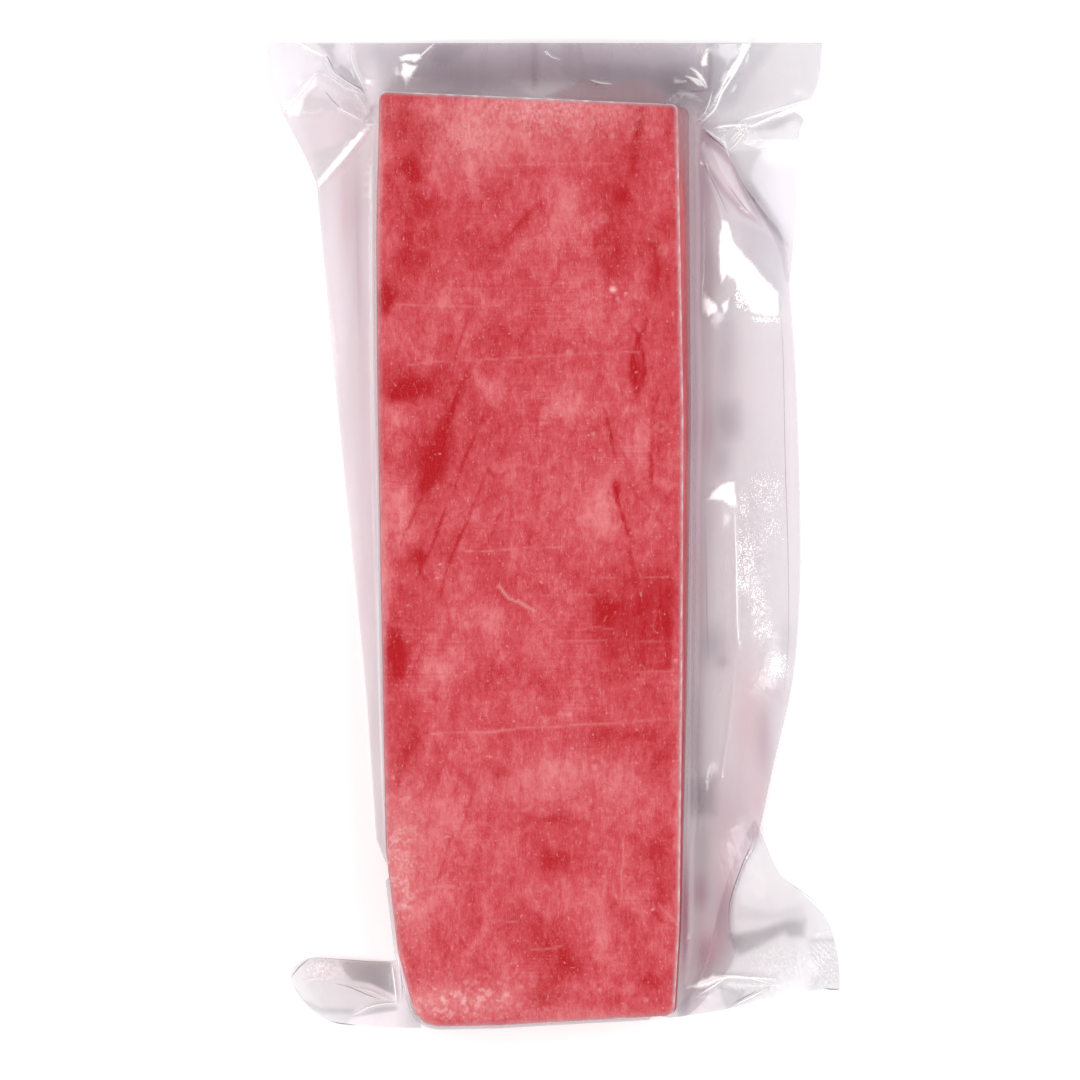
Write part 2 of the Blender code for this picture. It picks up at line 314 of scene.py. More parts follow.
# The bag's outline, anticlockwise from the mouth's right corner, without the parts that are flaps.
MOUTH = ((67.0, 123.2), (-71.5, 123.2))
TOP_LEFT_FLAP = ((-71.5, 123.2), (-71.2, 114.0), (-68.6, 107.0), (-62.5, 95.5), (-59.4, 88.2))
LEFT_FIN = ((-59.4, 88.2), (-52.6, 17.0), (-47.2, -37.0), (-44.4, -76.0))
FOOT_ROUND_CORNER = ((-43.2, -86.0), (24.0, -119.5))
RIGHT_FIN_END = ((28.5, -120.5), (34.2, -119.2), (39.6, -113.2), (44.0, -107.5), (45.6, -102.6))
RIGHT_FIN = (
    (45.6, -102.6),
    (44.3, -98.6),
    (44.6, -91.5),
    (47.4, -83.0),
    (50.8, -75.5),
    (54.9, -57.0),
    (59.6, -36.0),
    (61.4, -14.0),
    (61.4, 10.0),
    (60.4, 40.0),
    (58.9, 62.0),
    (58.2, 70.6),
)
FIN_FOLD = ((58.2, 70.6), (56.2, 76.2), (51.4, 82.4), (47.2, 88.2), (43.2, 95.8), (41.6, 99.6))
FIN_NOTCH = ((41.6, 99.6), (46.4, 103.6), (52.5, 105.8), (58.4, 107.6), (64.3, 109.2))
TOP_RIGHT_FLAP = ((64.3, 109.2), (66.3, 115.0), (67.0, 123.2))

# Flaps that lie under the bag's fins, each between a line tucked under the fin and its own edge.
GUSSET_TUCK = ((42.5, 101.0), (44.6, 93.0), (51.0, 81.5), (56.0, 72.0), (57.8, 63.5))
GUSSET_EDGE = (
    (45.5, 103.4),
    (52.0, 105.0),
    (58.2, 106.2),
    (62.1, 104.2),
    (61.0, 100.0),
    (60.7, 92.0),
    (60.3, 80.0),
    (58.9, 63.5),
)
CORNER_TUCK = ((50.0, -71.0), (45.5, -80.0), (41.0, -94.0), (38.0, -108.0), (31.0, -117.8))
CORNER_EDGE_SIDE = (
    (51.6, -73.8),
    (56.2, -84.0),
    (62.0, -89.2),
    (68.3, -96.0),
    (70.9, -105.5),
    (71.4, -113.2),
)
CORNER_EDGE_END = ((71.4, -113.2), (66.0, -113.4), (55.0, -115.1), (42.5, -118.4), (31.0, -120.3))
EAR_TUCK = ((-39.4, -106.0), (-38.3, -109.5), (-36.9, -114.5), (-33.6, -121.2))
EAR_EDGE = (
    (-42.6, -106.5),
    (-51.0, -106.0),
    (-61.0, -105.4),
    (-65.7, -109.2),
    (-63.3, -115.2),
    (-57.0, -120.8),
    (-50.0, -122.5),
    (-38.6, -123.0),
    (-33.2, -123.0),
)

# How the fins lie, as in the solid: a low rise, long waves, and curls of x, y, radius and height.
FIN_REST = 1.0
FIN_RISE = 2.4
FIN_RISE_REACH = 16.0
WAVE_HEIGHT = 0.9
WAVE_LENGTH = 64.0
WAVE_SLANT = 0.4
CURLS = (
    (-66.0, 112.0, 20.0, 5.5),
    (66.0, 112.0, 20.0, 4.5),
    (60.0, 30.0, 30.0, 3.6),
    (60.0, -30.0, 20.0, 2.4),
    (-64.0, -112.0, 13.0, 7.0),
    (70.0, -104.0, 17.0, 4.5),
    (-6.0, 124.0, 26.0, 2.2),
)

# Folds and creases of the film: points in the photo's pixels, half width and height in millimetres,
# and how white the crease is, partly whitened film and partly painted highlight. Puffs are x, y, half
# width and half height in pixels, and the height.
CREASES = (
    (((318, 187), (346, 156), (373, 123)), 0.55, 1.3, 1.0),
    (((338, 107), (344, 111), (352, 115), (364, 121)), 0.35, 0.7, 0.8),
    (((300, 113), (312, 113), (326, 110)), 0.3, 0.5, 0.6),
    (((316, 74), (300, 95), (284, 112)), 0.7, 0.8, 0.75),
    (((326, 58), (312, 51), (300, 44)), 0.5, 0.9, 0.8),
    (((317, 72), (330, 78), (345, 88), (362, 94)), 0.35, 0.8, 0.5),
    (((323, 60), (334, 74), (350, 84), (364, 93)), 0.4, 0.8, 0.4),
    (((352, 44), (352, 60), (360, 80), (366, 92)), 0.6, 0.9, 0.35),
    (((400, 57), (409, 60), (418, 55)), 0.5, 0.6, 0.9),
    (((590, 80), (600, 83), (612, 84)), 0.25, 0.3, 0.6),
    (((546, 50), (551, 57), (560, 60)), 0.2, 0.3, 0.4),
    (((417, 60), (424, 53), (434, 44)), 0.3, 0.5, 0.7),
    (((749, 44), (735, 72), (722, 92), (714, 110), (700, 124)), 0.4, 1.1, 0.85),
    (((712, 92), (709, 103), (704, 114), (697, 122)), 0.3, 0.6, 0.5),
    (((690, 68), (700, 75), (707, 87)), 0.3, 0.5, 0.8),
    (((686, 77), (697, 80), (706, 88)), 0.35, 0.5, 0.8),
    (((714, 128), (726, 126), (742, 125)), 0.45, 0.7, 0.9),
    (((742, 126), (752, 126), (766, 120), (790, 110), (812, 100)), 0.7, 0.9, 0.95),
    (((742, 128), (734, 136), (728, 142)), 0.3, 0.5, 0.6),
    (((748, 128), (742, 136), (736, 144), (728, 151)), 0.35, 0.5, 0.6),
    (((704, 128), (714, 136), (724, 142), (728, 151)), 0.35, 0.5, 0.55),
    (((702, 128), (716, 142), (729, 156), (746, 188), (764, 212), (786, 250)), 0.5, 0.8, 0.0),
    (((706, 138), (722, 172), (738, 196), (752, 216)), 0.8, 0.6, 0.1),
    (((698, 142), (708, 178), (718, 206), (724, 236)), 0.9, 0.6, 0.05),
    (((734, 505), (736, 560), (737, 620), (739, 650)), 0.3, 0.5, 0.8),
    (((735, 660), (732, 700), (727, 740), (721, 780)), 0.3, 0.4, 0.1),
    (((686, 988), (706, 983), (728, 977), (776, 979)), 0.5, 0.8, 0.95),
    (((700, 994), (716, 984), (728, 976)), 0.4, 0.6, 0.8),
    (((712, 976), (740, 976), (774, 984)), 0.3, 0.6, 0.6),
    (((733, 1006), (748, 998), (768, 988)), 0.35, 0.6, 0.7),
    (((690, 1000), (704, 970), (716, 930)), 0.8, 0.7, 0.0),
    (((811, 931), (825, 931), (838, 930)), 0.35, 0.4, 0.25),
    (((392, 964), (395, 985), (397, 1005)), 0.35, 0.8, 0.85),
    (((338, 984), (366, 990), (392, 1000)), 0.4, 0.6, 0.3),
    (((352, 1016), (372, 1006), (397, 1002)), 0.35, 0.6, 0.7),
    (((304, 980), (318, 978), (326, 974), (332, 966)), 0.3, 0.6, 0.5),
    (((352, 88), (366, 108), (373, 122)), 0.5, 0.5, 0.3),
    (((667, 104), (671, 98), (680, 93), (690, 95), (698, 97)), 0.24, 0.4, 0.5),
    (((672, 106), (676, 100), (684, 96)), 0.2, 0.3, 0.5),
    (((674, 108), (684, 111), (694, 118), (702, 127)), 0.24, 0.3, 0.35),
    (((373, 130), (372, 200), (372, 300), (374, 400), (376, 470)), 0.35, 0.4, 0.75),
    (((376, 420), (378, 540), (380, 700), (383, 780), (386, 850)), 0.3, 0.3, 0.7),
    (((356, 210), (358, 330), (361, 470)), 0.6, 0.4, 0.0),
    (((691, 130), (691, 300), (691, 520), (689, 760), (688, 940)), 0.25, 0.2, 0.45),
)
PUFFS = (
    (748, 268, 26, 40, 0.9),
    (714, 300, 10, 16, 0.7),
    (722, 505, 12, 22, 0.6),
    (765, 520, 26, 60, 0.5),
    (735, 90, 24, 26, -1.2),
    (790, 75, 24, 26, 0.15),
    (692, 82, 16, 14, 0.8),
    (409, 70, 12, 16, 0.7),
    (300, 78, 20, 22, 1.0),
    (345, 72, 14, 20, -0.8),
    (345, 140, 18, 20, 0.6),
    (336, 230, 14, 60, 0.5),
    (720, 390, 14, 50, -0.6),
    (718, 640, 12, 70, -0.5),
    (706, 800, 16, 30, -0.8),
    (320, 985, 18, 12, 0.8),
    (368, 985, 14, 16, -0.8),
)

# Tones of the film as it looks over white, and where each lies softly: x, y, half width, half height
# in the photo's pixels, tone and strength. Many are painted light and shade: the lilac, mauve and
# shade tones beside the block's right side are painted shade, and the white and pale tones beside its
# left side paint light over the shade there.
CLEAR_TONE = (0.905, 0.895, 0.905)
WHITE_TONE = (0.98, 0.965, 0.98)
PALE_TONE = (0.94, 0.915, 0.93)
GREY_TONE = (0.81, 0.80, 0.815)
SHADE_TONE = (0.72, 0.70, 0.715)
LILAC_TONE = (0.82, 0.765, 0.79)
MAUVE_TONE = (0.76, 0.65, 0.685)
# The mouth and dusk tones are painted shade, where the block's end shades the fin at the mouth.
MOUTH_SHADE_TONE = (0.78, 0.755, 0.775)
DUSK_TONE = (0.73, 0.705, 0.725)
ROSE_TONE = (0.81, 0.745, 0.765)
PINK_TONE = (0.89, 0.82, 0.835)
FOLD_SHADE_TONE = (0.85, 0.82, 0.835)
GUSSET_TONE = (0.95, 0.935, 0.96)
FILM_TINT_AND_SHADE_PATCHES = (
    (548, 60, 150, 40, MOUTH_SHADE_TONE, 1.0),
    (540, 95, 130, 12, CLEAR_TONE, 1.0),
    (455, 66, 46, 36, MOUTH_SHADE_TONE, 0.9),
    (655, 76, 46, 40, MOUTH_SHADE_TONE, 0.9),
    (690, 85, 22, 22, SHADE_TONE, 0.5),
    (352, 66, 12, 20, CLEAR_TONE, 0.5),
    (373, 52, 12, 12, GREY_TONE, 0.8),
    (290, 80, 34, 60, WHITE_TONE, 0.9),
    (320, 130, 34, 34, PALE_TONE, 0.9),
    (372, 110, 8, 40, WHITE_TONE, 0.8),
    (345, 50, 9, 14, WHITE_TONE, 0.7),
    (338, 300, 22, 170, WHITE_TONE, 0.85),
    (348, 560, 18, 160, WHITE_TONE, 0.8),
    (366, 420, 9, 360, PALE_TONE, 1.0),
    (357, 230, 5, 90, LILAC_TONE, 0.35),
    (345, 200, 7, 60, PINK_TONE, 0.35),
    (800, 70, 20, 40, PALE_TONE, 0.7),
    (775, 70, 22, 26, PALE_TONE, 0.7),
    (756, 50, 16, 10, GREY_TONE, 0.5),
    (735, 90, 12, 16, GREY_TONE, 0.8),
    (795, 100, 12, 6, GREY_TONE, 0.4),
    (785, 200, 30, 80, GUSSET_TONE, 1.0),
    (780, 130, 22, 10, GREY_TONE, 0.3),
    (702, 200, 10, 90, LILAC_TONE, 0.9),
    (710, 270, 12, 30, SHADE_TONE, 0.3),
    (701, 340, 12, 120, LILAC_TONE, 0.5),
    (694, 430, 8, 300, LILAC_TONE, 0.6),
    (707, 430, 10, 34, MAUVE_TONE, 0.3),
    (733, 245, 14, 26, PALE_TONE, 0.5),
    (727, 350, 9, 50, GREY_TONE, 0.6),
    (728, 422, 11, 20, GREY_TONE, 0.9),
    (722, 462, 10, 20, GREY_TONE, 0.7),
    (760, 390, 22, 70, PALE_TONE, 0.4),
    (791, 430, 6, 190, PALE_TONE, 0.8),
    (716, 560, 14, 60, CLEAR_TONE, 0.6),
    (698, 590, 7, 90, MAUVE_TONE, 0.35),
    (712, 645, 16, 18, GREY_TONE, 0.7),
    (722, 662, 6, 6, SHADE_TONE, 0.4),
    (780, 560, 12, 60, CLEAR_TONE, 0.6),
    (784, 640, 8, 18, GREY_TONE, 0.5),
    (695, 740, 6, 70, SHADE_TONE, 0.8),
    (697, 797, 8, 16, SHADE_TONE, 0.7),
    (713, 715, 10, 50, CLEAR_TONE, 0.7),
    (748, 720, 16, 60, PINK_TONE, 0.7),
    (764, 745, 9, 44, LILAC_TONE, 0.8),
    (777, 690, 8, 16, LILAC_TONE, 0.35),
    (740, 820, 22, 50, LILAC_TONE, 0.55),
    (758, 800, 7, 26, PINK_TONE, 0.6),
    (703, 845, 9, 28, GREY_TONE, 0.5),
    (701, 892, 9, 22, MAUVE_TONE, 0.5),
    (722, 910, 10, 40, LILAC_TONE, 0.7),
    (728, 860, 14, 50, PINK_TONE, 0.5),
    (401, 985, 9, 44, WHITE_TONE, 1.0),
    (710, 945, 16, 24, PINK_TONE, 0.8),
    (704, 955, 8, 22, MAUVE_TONE, 0.4),
    (685, 915, 4, 60, MAUVE_TONE, 1.0),
)

# Facets of the folded film, painted with the light and shade each catches: tone, strength, how soft
# the edge is in pixels, and the corners.
LIT_AND_SHADED_FACETS = (
    (DUSK_TONE, 0.6, 3.0, ((436, 44), (478, 44), (462, 54), (440, 66), (430, 60))),
    (DUSK_TONE, 0.35, 3.5, (
        (450, 92), (462, 80), (484, 77), (505, 78), (520, 88), (528, 96), (470, 94),
    )),
    (DUSK_TONE, 0.6, 2.0, ((532, 44), (538, 44), (538, 84), (533, 90), (531, 70))),
    (DUSK_TONE, 0.5, 4.0, ((562, 44), (580, 44), (584, 70), (600, 84), (580, 84), (566, 76))),
    (DUSK_TONE, 0.6, 6.0, (
        (584, 66), (620, 62), (650, 68), (684, 66), (684, 96), (664, 94), (648, 80), (600, 82),
    )),
    (ROSE_TONE, 0.8, 2.0, (
        (545, 97), (570, 86), (590, 81), (605, 85), (625, 81), (645, 82), (660, 92), (668, 104),
        (600, 104),
    )),
    (GREY_TONE, 0.7, 2.0, (
        (708, 44), (741, 44), (731, 66), (721, 86), (712, 104), (703, 121), (708, 90),
    )),
    (SHADE_TONE, 0.5, 1.5, ((707, 44), (712, 44), (713, 70), (711, 90), (707, 92))),
    (CLEAR_TONE, 0.8, 2.0, (
        (752, 47), (822, 44), (812, 98), (788, 104), (752, 121), (706, 124), (724, 96), (740, 68),
    )),
    (GREY_TONE, 0.5, 5.0, (
        (748, 50), (775, 44), (764, 62), (745, 84), (735, 104), (720, 108), (730, 84),
    )),
    (LILAC_TONE, 0.8, 2.0, (
        (701, 128), (728, 150), (745, 190), (762, 226), (740, 214), (716, 186), (697, 150),
    )),
    (PALE_TONE, 0.95, 2.0, (
        (701, 142), (716, 152), (730, 166), (741, 190), (750, 206), (760, 224), (746, 212),
        (726, 190), (708, 164),
    )),
    (SHADE_TONE, 0.5, 3.0, (
        (728, 151), (736, 158), (746, 172), (753, 184), (766, 204), (779, 226), (787, 246),
        (781, 242), (766, 224), (749, 202), (742, 188), (735, 170),
    )),
    (SHADE_TONE, 0.5, 2.5, ((742, 180), (752, 186), (760, 200), (752, 202), (746, 194))),
    (GREY_TONE, 0.6, 2.0, ((727, 153), (752, 150), (762, 150), (754, 164), (750, 178), (740, 164))),
    (GREY_TONE, 0.35, 4.0, ((735, 222), (765, 230), (784, 250), (780, 296), (762, 282), (744, 252))),
    (GREY_TONE, 0.75, 1.5, (
        (752, 128), (790, 113), (804, 112), (808, 123), (800, 134), (793, 144), (760, 138),
    )),
    (SHADE_TONE, 0.4, 3.0, ((766, 124), (788, 118), (782, 128), (770, 133))),
    (GREY_TONE, 0.8, 1.5, ((318, 44), (328, 56), (333, 70), (338, 64), (333, 52), (336, 44))),
    (GREY_TONE, 0.75, 1.5, (
        (333, 69), (341, 65), (351, 71), (359, 79), (366, 92), (358, 88), (349, 81), (338, 75),
    )),
    (CLEAR_TONE, 0.8, 2.0, ((306, 95), (330, 100), (336, 110), (320, 111), (302, 112))),
    (CLEAR_TONE, 0.9, 2.0, ((314, 152), (340, 144), (364, 126), (342, 150), (319, 178), (314, 180))),
    (GREY_TONE, 0.6, 1.5, ((366, 124), (372, 106), (376, 104), (374, 118), (370, 128))),
    (GREY_TONE, 0.45, 6.0, ((719, 402), (740, 402), (740, 438), (719, 440))),
    (SHADE_TONE, 0.35, 5.0, ((692, 780), (716, 778), (716, 814), (692, 816))),
    (CLEAR_TONE, 0.9, 1.5, (
        (756, 836), (783, 878), (790, 880), (778, 892), (745, 900), (732, 896), (742, 872),
    )),
    (CLEAR_TONE, 0.95, 2.0, ((783, 878), (820, 903), (840, 938), (806, 936), (800, 912), (770, 900))),
    (GREY_TONE, 0.45, 2.5, ((740, 906), (775, 912), (802, 904), (806, 920), (770, 920), (736, 918))),
    # A painted shadow streak across the lower right flap.
    (SHADE_TONE, 0.9, 3.5, (
        (730, 935), (757, 931), (786, 920), (805, 920), (804, 936), (790, 937), (785, 932),
        (770, 940), (752, 950), (739, 955),
    )),
    (CLEAR_TONE, 0.9, 3.0, (
        (745, 956), (768, 944), (790, 940), (806, 940), (808, 985), (780, 972), (752, 972),
    )),
    (GREY_TONE, 0.55, 5.0, ((808, 938), (845, 938), (845, 995), (808, 995))),
    (SHADE_TONE, 0.5, 1.0, ((810, 939), (834, 938), (834, 941), (812, 942))),
    (CLEAR_TONE, 0.9, 1.5, ((750, 971), (776, 971), (800, 985), (808, 993), (794, 992), (772, 982))),
    (PALE_TONE, 0.9, 2.0, ((690, 990), (716, 986), (722, 1000), (706, 1012), (690, 1014))),
    (GREY_TONE, 0.85, 1.5, ((718, 985), (746, 989), (740, 1003), (728, 1010), (722, 998))),
    (CLEAR_TONE, 0.9, 2.0, ((750, 984), (790, 990), (800, 995), (745, 1000))),
    (SHADE_TONE, 0.9, 1.5, (
        (340, 960), (391, 963), (396, 996), (386, 992), (372, 984), (352, 980), (344, 970),
    )),
    (SHADE_TONE, 0.6, 2.0, ((352, 968), (372, 968), (393, 976), (396, 994), (386, 991), (366, 979))),
    (GREY_TONE, 0.5, 1.5, ((308, 957), (345, 960), (350, 968), (318, 962))),
    (PALE_TONE, 0.9, 1.5, ((344, 982), (372, 985), (392, 994), (396, 1000), (384, 1000), (362, 990))),
    (WHITE_TONE, 0.9, 2.0, ((352, 1017), (376, 1010), (397, 1004), (397, 1030), (340, 1030))),
    (GREY_TONE, 1.0, 2.0, (
        (294, 986), (304, 999), (324, 1007), (356, 1008), (352, 1014), (322, 1013), (300, 1003),
    )),
    (CLEAR_TONE, 0.9, 2.0, (
        (302, 984), (332, 984), (364, 996), (374, 1002), (352, 1008), (322, 1006), (302, 996),
    )),
    (GREY_TONE, 0.9, 1.5, ((352, 1017), (376, 1008), (396, 1005), (397, 1010), (372, 1014))),
    (PALE_TONE, 0.8, 1.5, ((300, 968), (330, 962), (344, 968), (334, 980), (306, 978))),
)

# Thin darker lines of painted shade along the film's folds: half width in millimetres, tone, and
# points in pixels.
SHADES = (
    (0.1, FOLD_SHADE_TONE, ((780, 300), (783, 360), (785, 460), (788, 560), (788, 640), (784, 690))),
    (0.1, FOLD_SHADE_TONE, ((704, 505), (706, 560), (707, 620), (709, 660))),
    (0.24, GREY_TONE, ((327, 56), (331, 64), (334, 70))),
    (0.2, GREY_TONE, ((340, 75), (350, 83), (362, 90), (368, 104))),
    (0.2, GREY_TONE, ((325, 91), (332, 100), (340, 108))),
    (0.24, LILAC_TONE, ((363, 124), (370, 112), (375, 102))),
    (0.28, SHADE_TONE, ((700, 128), (716, 141), (727, 150))),
    (0.16, FOLD_SHADE_TONE, ((698, 150), (708, 172), (718, 192), (728, 214))),
    (0.14, GREY_TONE, ((728, 186), (742, 204), (756, 220))),
    (0.2, GREY_TONE, ((336, 983), (350, 987), (366, 994), (380, 999))),
    (0.14, GREY_TONE, ((400, 966), (402, 984), (402, 1002))),
    (0.16, GREY_TONE, ((316, 957), (340, 959), (391, 963))),
    (0.26, GREY_TONE, ((292, 976), (300, 966), (310, 958))),
    (0.24, GREY_TONE, ((331, 1021), (340, 1023), (356, 1025))),
    (0.28, SHADE_TONE, ((824, 988), (832, 989), (839, 989))),
    (0.2, GREY_TONE, ((733, 1003), (746, 996), (756, 991))),
    (0.12, GREY_TONE, ((784, 879), (800, 890), (820, 905))),
    (0.2, LILAC_TONE, ((753, 840), (741, 868), (730, 902), (729, 930))),
    (0.2, GREY_TONE, ((680, 92), (700, 91), (708, 90))),
)

# Painted highlights, where the stretched film throws the light back white: strength and corners.
FLASHES = (
    (1.0, (
        (722, 221), (728, 222), (734, 243), (749, 260), (766, 281), (778, 293), (778, 316),
        (762, 316), (750, 312), (742, 294), (734, 279), (726, 275), (721, 284), (719, 270),
        (719, 240),
    )),
    (1.0, ((704, 292), (710, 298), (719, 309), (712, 314), (706, 318), (703, 304))),
    (1.0, ((722, 304), (729, 298), (728, 309), (724, 313))),
    (1.0, (
        (742, 44), (751, 44), (744, 58), (735, 73), (727, 81), (720, 94), (712, 108), (703, 120),
        (711, 106), (718, 92), (724, 78), (731, 66), (736, 60),
    )),
    (1.0, ((752, 124), (790, 110), (811, 99), (806, 108), (790, 114), (760, 124))),
    (0.7, ((744, 142), (760, 143), (768, 147), (760, 149), (746, 146))),
    (1.0, ((400, 57), (410, 54), (420, 53), (421, 59), (415, 62), (402, 61))),
    (1.0, ((402, 64), (418, 65), (413, 74), (405, 87), (403, 76))),
    (0.9, ((365, 78), (374, 80), (370, 86), (366, 83))),
    (0.85, ((286, 112), (300, 92), (316, 76), (318, 84), (306, 98), (300, 116), (290, 117))),
    (1.0, (
        (318, 180), (319, 188), (345, 160), (352, 148), (372, 124), (370, 122), (350, 142),
        (330, 166),
    )),
    (1.0, ((701, 62), (707, 48), (707, 65), (702, 66))),
    (0.9, ((692, 67), (700, 74), (707, 87), (700, 80))),
    (0.9, ((686, 76), (697, 79), (706, 87), (696, 85))),
    (1.0, ((707, 500), (713, 491), (722, 484), (735, 481), (736, 506), (731, 506), (722, 500))),
    (0.5, ((745, 140), (796, 140), (796, 148), (760, 149))),
    (0.9, ((686, 986), (706, 978), (714, 975), (730, 976), (712, 984), (700, 989))),
    (0.6, ((300, 44), (314, 50), (326, 57), (314, 54))),
    (0.6, ((368, 165), (373, 165), (371, 200), (367, 200))),
)

# The flashes' edges wander by this much, in waves of this length, in millimetres.
FLASH_WANDER = 0.35
FLASH_WAVE = 1.7

# Where the film glows softly, a painted glow that lightens the shade beside the block and paints soft
# highlights: x, y, half width, half height and strength.
GLEAMS = (
    (362, 150, 14, 50, 0.3),
    (364, 250, 10, 60, 0.2),
    (352, 560, 14, 120, 0.35),
    (366, 680, 12, 90, 0.4),
    (376, 790, 8, 70, 0.4),
    (500, 92, 90, 8, 0.12),
    (778, 664, 8, 14, 0.8),
    (750, 584, 8, 13, 0.6),
    (758, 628, 14, 13, 0.25),
    (372, 100, 8, 30, 0.3),
    (398, 975, 12, 50, 0.5),
)

# Where the film is finely crinkled: x, y, half width, half height and strength. Elsewhere it is smooth.
CRINKLE_LEAST = 0.12
CRINKLES = (
    (756, 560, 16, 60, 1.0),
    (770, 500, 22, 44, 0.8),
    (765, 318, 16, 12, 0.6),
    (745, 128, 14, 12, 1.0),
    (362, 112, 14, 16, 0.7),
    (704, 118, 10, 14, 0.8),
    (775, 665, 14, 20, 0.5),
    (345, 100, 24, 24, 0.5),
    (322, 970, 28, 16, 0.9),
    (750, 985, 50, 16, 0.6),
    (776, 962, 36, 22, 1.0),
    (824, 964, 20, 28, 0.75),
    (790, 900, 24, 30, 0.3),
)

# Where fine white dots of painted sparkling highlight lie in the film: x, y, half width, half height,
# and how thick they lie.
SPARKLES = (
    (765, 490, 24, 26, 1.05),
    (770, 530, 20, 16, 1.0),
    (744, 505, 8, 20, 1.1),
    (746, 560, 14, 50, 1.15),
    (744, 584, 10, 12, 1.2),
    (757, 600, 12, 22, 1.08),
    (762, 630, 14, 16, 1.1),
    (778, 666, 13, 18, 1.15),
    (741, 296, 9, 18, 1.35),
    (765, 320, 18, 5, 1.3),
    (742, 128, 12, 8, 1.1),
    (318, 968, 14, 10, 1.0),
    (774, 960, 24, 12, 0.85),
    (750, 860, 10, 16, 0.8),
    (738, 136, 8, 10, 1.0),
)

# The block's mesh: rings round its long edges and down its sides, and the low relief of the shown
# face as layer, wave length and height. The shown face lies this far under the block's thickness.
EDGE_STEPS = 3
SIDE_STEPS = 10
FACE_DROP = 0.2
FACE_WAVES = ((0.0, 16.0, 0.16), (5.0, 5.0, 0.05))
SIDE_WAVE = 9.0
SIDE_WAVE_HEIGHT = 0.15
FOOT_ROUNDING = 0.3
FOOT_CLEARANCE = 0.08

# How the marks on the flesh stray from their places: wave lengths and reaches. Lines stray less than
# patches, and tremble. Rings have this half width in pixels. All strays start from one seed.
STRAY_SEED = 7
STRAY_WAVE, PATCH_STRAY, LINE_STRAY = 7.0, 1.1, 0.3
TREMBLE_WAVE, TREMBLE = 1.6, 0.2
TAPER_WAVE, TAPER = 3.0, 0.9
LINE_SPREAD = 1.3
RING_WIDTH = 1.8

# The marks fade down the block's sides from here to there, and this share of the redness stays.
MARKS_END = 3.0
MARKS_FADE = 2.5
SIDE_REDNESS = 0.35
SCRATCH_TONE = (0.93, 0.72, 0.72)

# The film's mesh: how often the places where its lines start are evened out, its rings in order from
# the floor to the block's edge, and how far in the rings on the shown face lie.
EVENING_PASSES = 420
UNDER_RINGS = 5
TENT_RINGS = 7
WALL_RINGS = 7
FILM_EDGE_RINGS = 4
ROOF_INSETS = (1.2, 2.6, 6.0, 14.0)
FLOOR_SHARE = 0.97
RELIEF_REACH = 3.0
WRINKLE_WAVE = 2.2
WRINKLE_HEIGHT = 0.06

# How much the film hides: under the block, under the fins, on the block's sides, edges and shown
# face, and in the flaps. It hides more where it is dark, in white creases and painted highlights, and
# where it is gathered at the mouth's right corner, which is x, y, half width and half height.
FOOT_VEIL = 0.3
UNDER_VEIL = 0.22
WALL_VEIL = 0.06
FILM_EDGE_VEIL = 0.25
ROOF_VEIL = 0.02
FLAP_VEIL = 0.85
MOST_VEIL = 0.97
DARK_VEIL = 0.55
CREASE_AND_HIGHLIGHT_VEIL = 0.93
MOUTH_MIST = (686, 125, 12, 55)

# The white of creases and painted highlights, the white of the painted highlight along the block's
# wrapped edges, the whiteness from which the film glows with painted light, how brightly it does, and
# the darkest and palest colour that film has.
CREASE_AND_HIGHLIGHT_WHITE = 0.99
LIP_HIGHLIGHT_LEFT_BOTTOM = (0.12, 0.55)
LIP_HIGHLIGHT_RIGHT_TOP = (0.78, 1.0)
GLINT_FROM = 0.8
GLINT_STRENGTH = 0.3
COLOUR_LIMITS = (0.02, 0.95)

# The flaps under the fins. The seal's band on the lower right one is its left side, its top and its
# bottom, then how soft it is across and along and its ribs' spacing, all in the photo's pixels.
FLAP_ACROSS, FLAP_ALONG = 180, 90
FLAP_THICKNESS = 0.12
TUCK_DROP = 0.7
SEAL_BAND = (808, 940, 989)
SEAL_SOFTNESS = (12, 2)
SEAL_RIB = 6.0
SEAL_RIB_HEIGHT = 0.08
SEAL_WHITE = 0.3

# A crease's height reaches this many half widths out, and its ends keep this share of its size. If it
# is at least this white, it gets a ridge of its own, whose points are this far apart. The ridge has
# this share of the crease's width, and sinks this far into the film.
CREASE_REACH = 1.6
CREASE_END = 0.25
CREASE_SHOWN = 0.3
CREASE_FAINT = 0.25
CREASE_STEP = 0.6
CREASE_SHARE = 0.55
CREASE_SINK = 0.1

# The studio, in metres. Each softbox has a place, a size and a brightness.
FLOOR_SIZE = 6.0
FLOOR_DROP = 0.2 * MM
FLOOR_GLOW = 0.07
SOFTBOXES = (
    ("key_softbox", (-0.42, -0.36, 1.2), (0.36, 0.36), 14.5),
    ("kicker_softbox", (0.45, 0.20, 1.2), (0.14, 0.24), 12.0),
    ("right_softbox", (1.2, 0.1, 0.6), (0.8, 0.8), 3.0),
    ("left_softbox", (-1.2, 0.0, 0.2), (0.8, 0.3), 5.0),
)


def photo_place(x, y):
    """Millimetres in the pack's frame of a place in the photo."""
    return (x - PHOTO_ORIGIN[0]) * PHOTO_MM, (PHOTO_ORIGIN[1] - y) * PHOTO_MM


def photo_pixels(places):
    """Photo pixels, as two arrays, of places in millimetres in the pack's frame."""
    return (
        PHOTO_ORIGIN[0] + places[:, 0] / PHOTO_MM,
        PHOTO_ORIGIN[1] - places[:, 1] / PHOTO_MM,
    )


def in_patch(px, py, x, y, half_width, half_height, lean=0.0):
    """A soft ellipse at photo pixels: 1 in its middle, falling to a third at its edge."""
    turn = math.radians(lean)
    across = (px - x) * math.cos(turn) + (py - y) * math.sin(turn)
    along = (py - y) * math.cos(turn) - (px - x) * math.sin(turn)
    return np.exp(-((across / half_width) ** 2) - (along / half_height) ** 2)


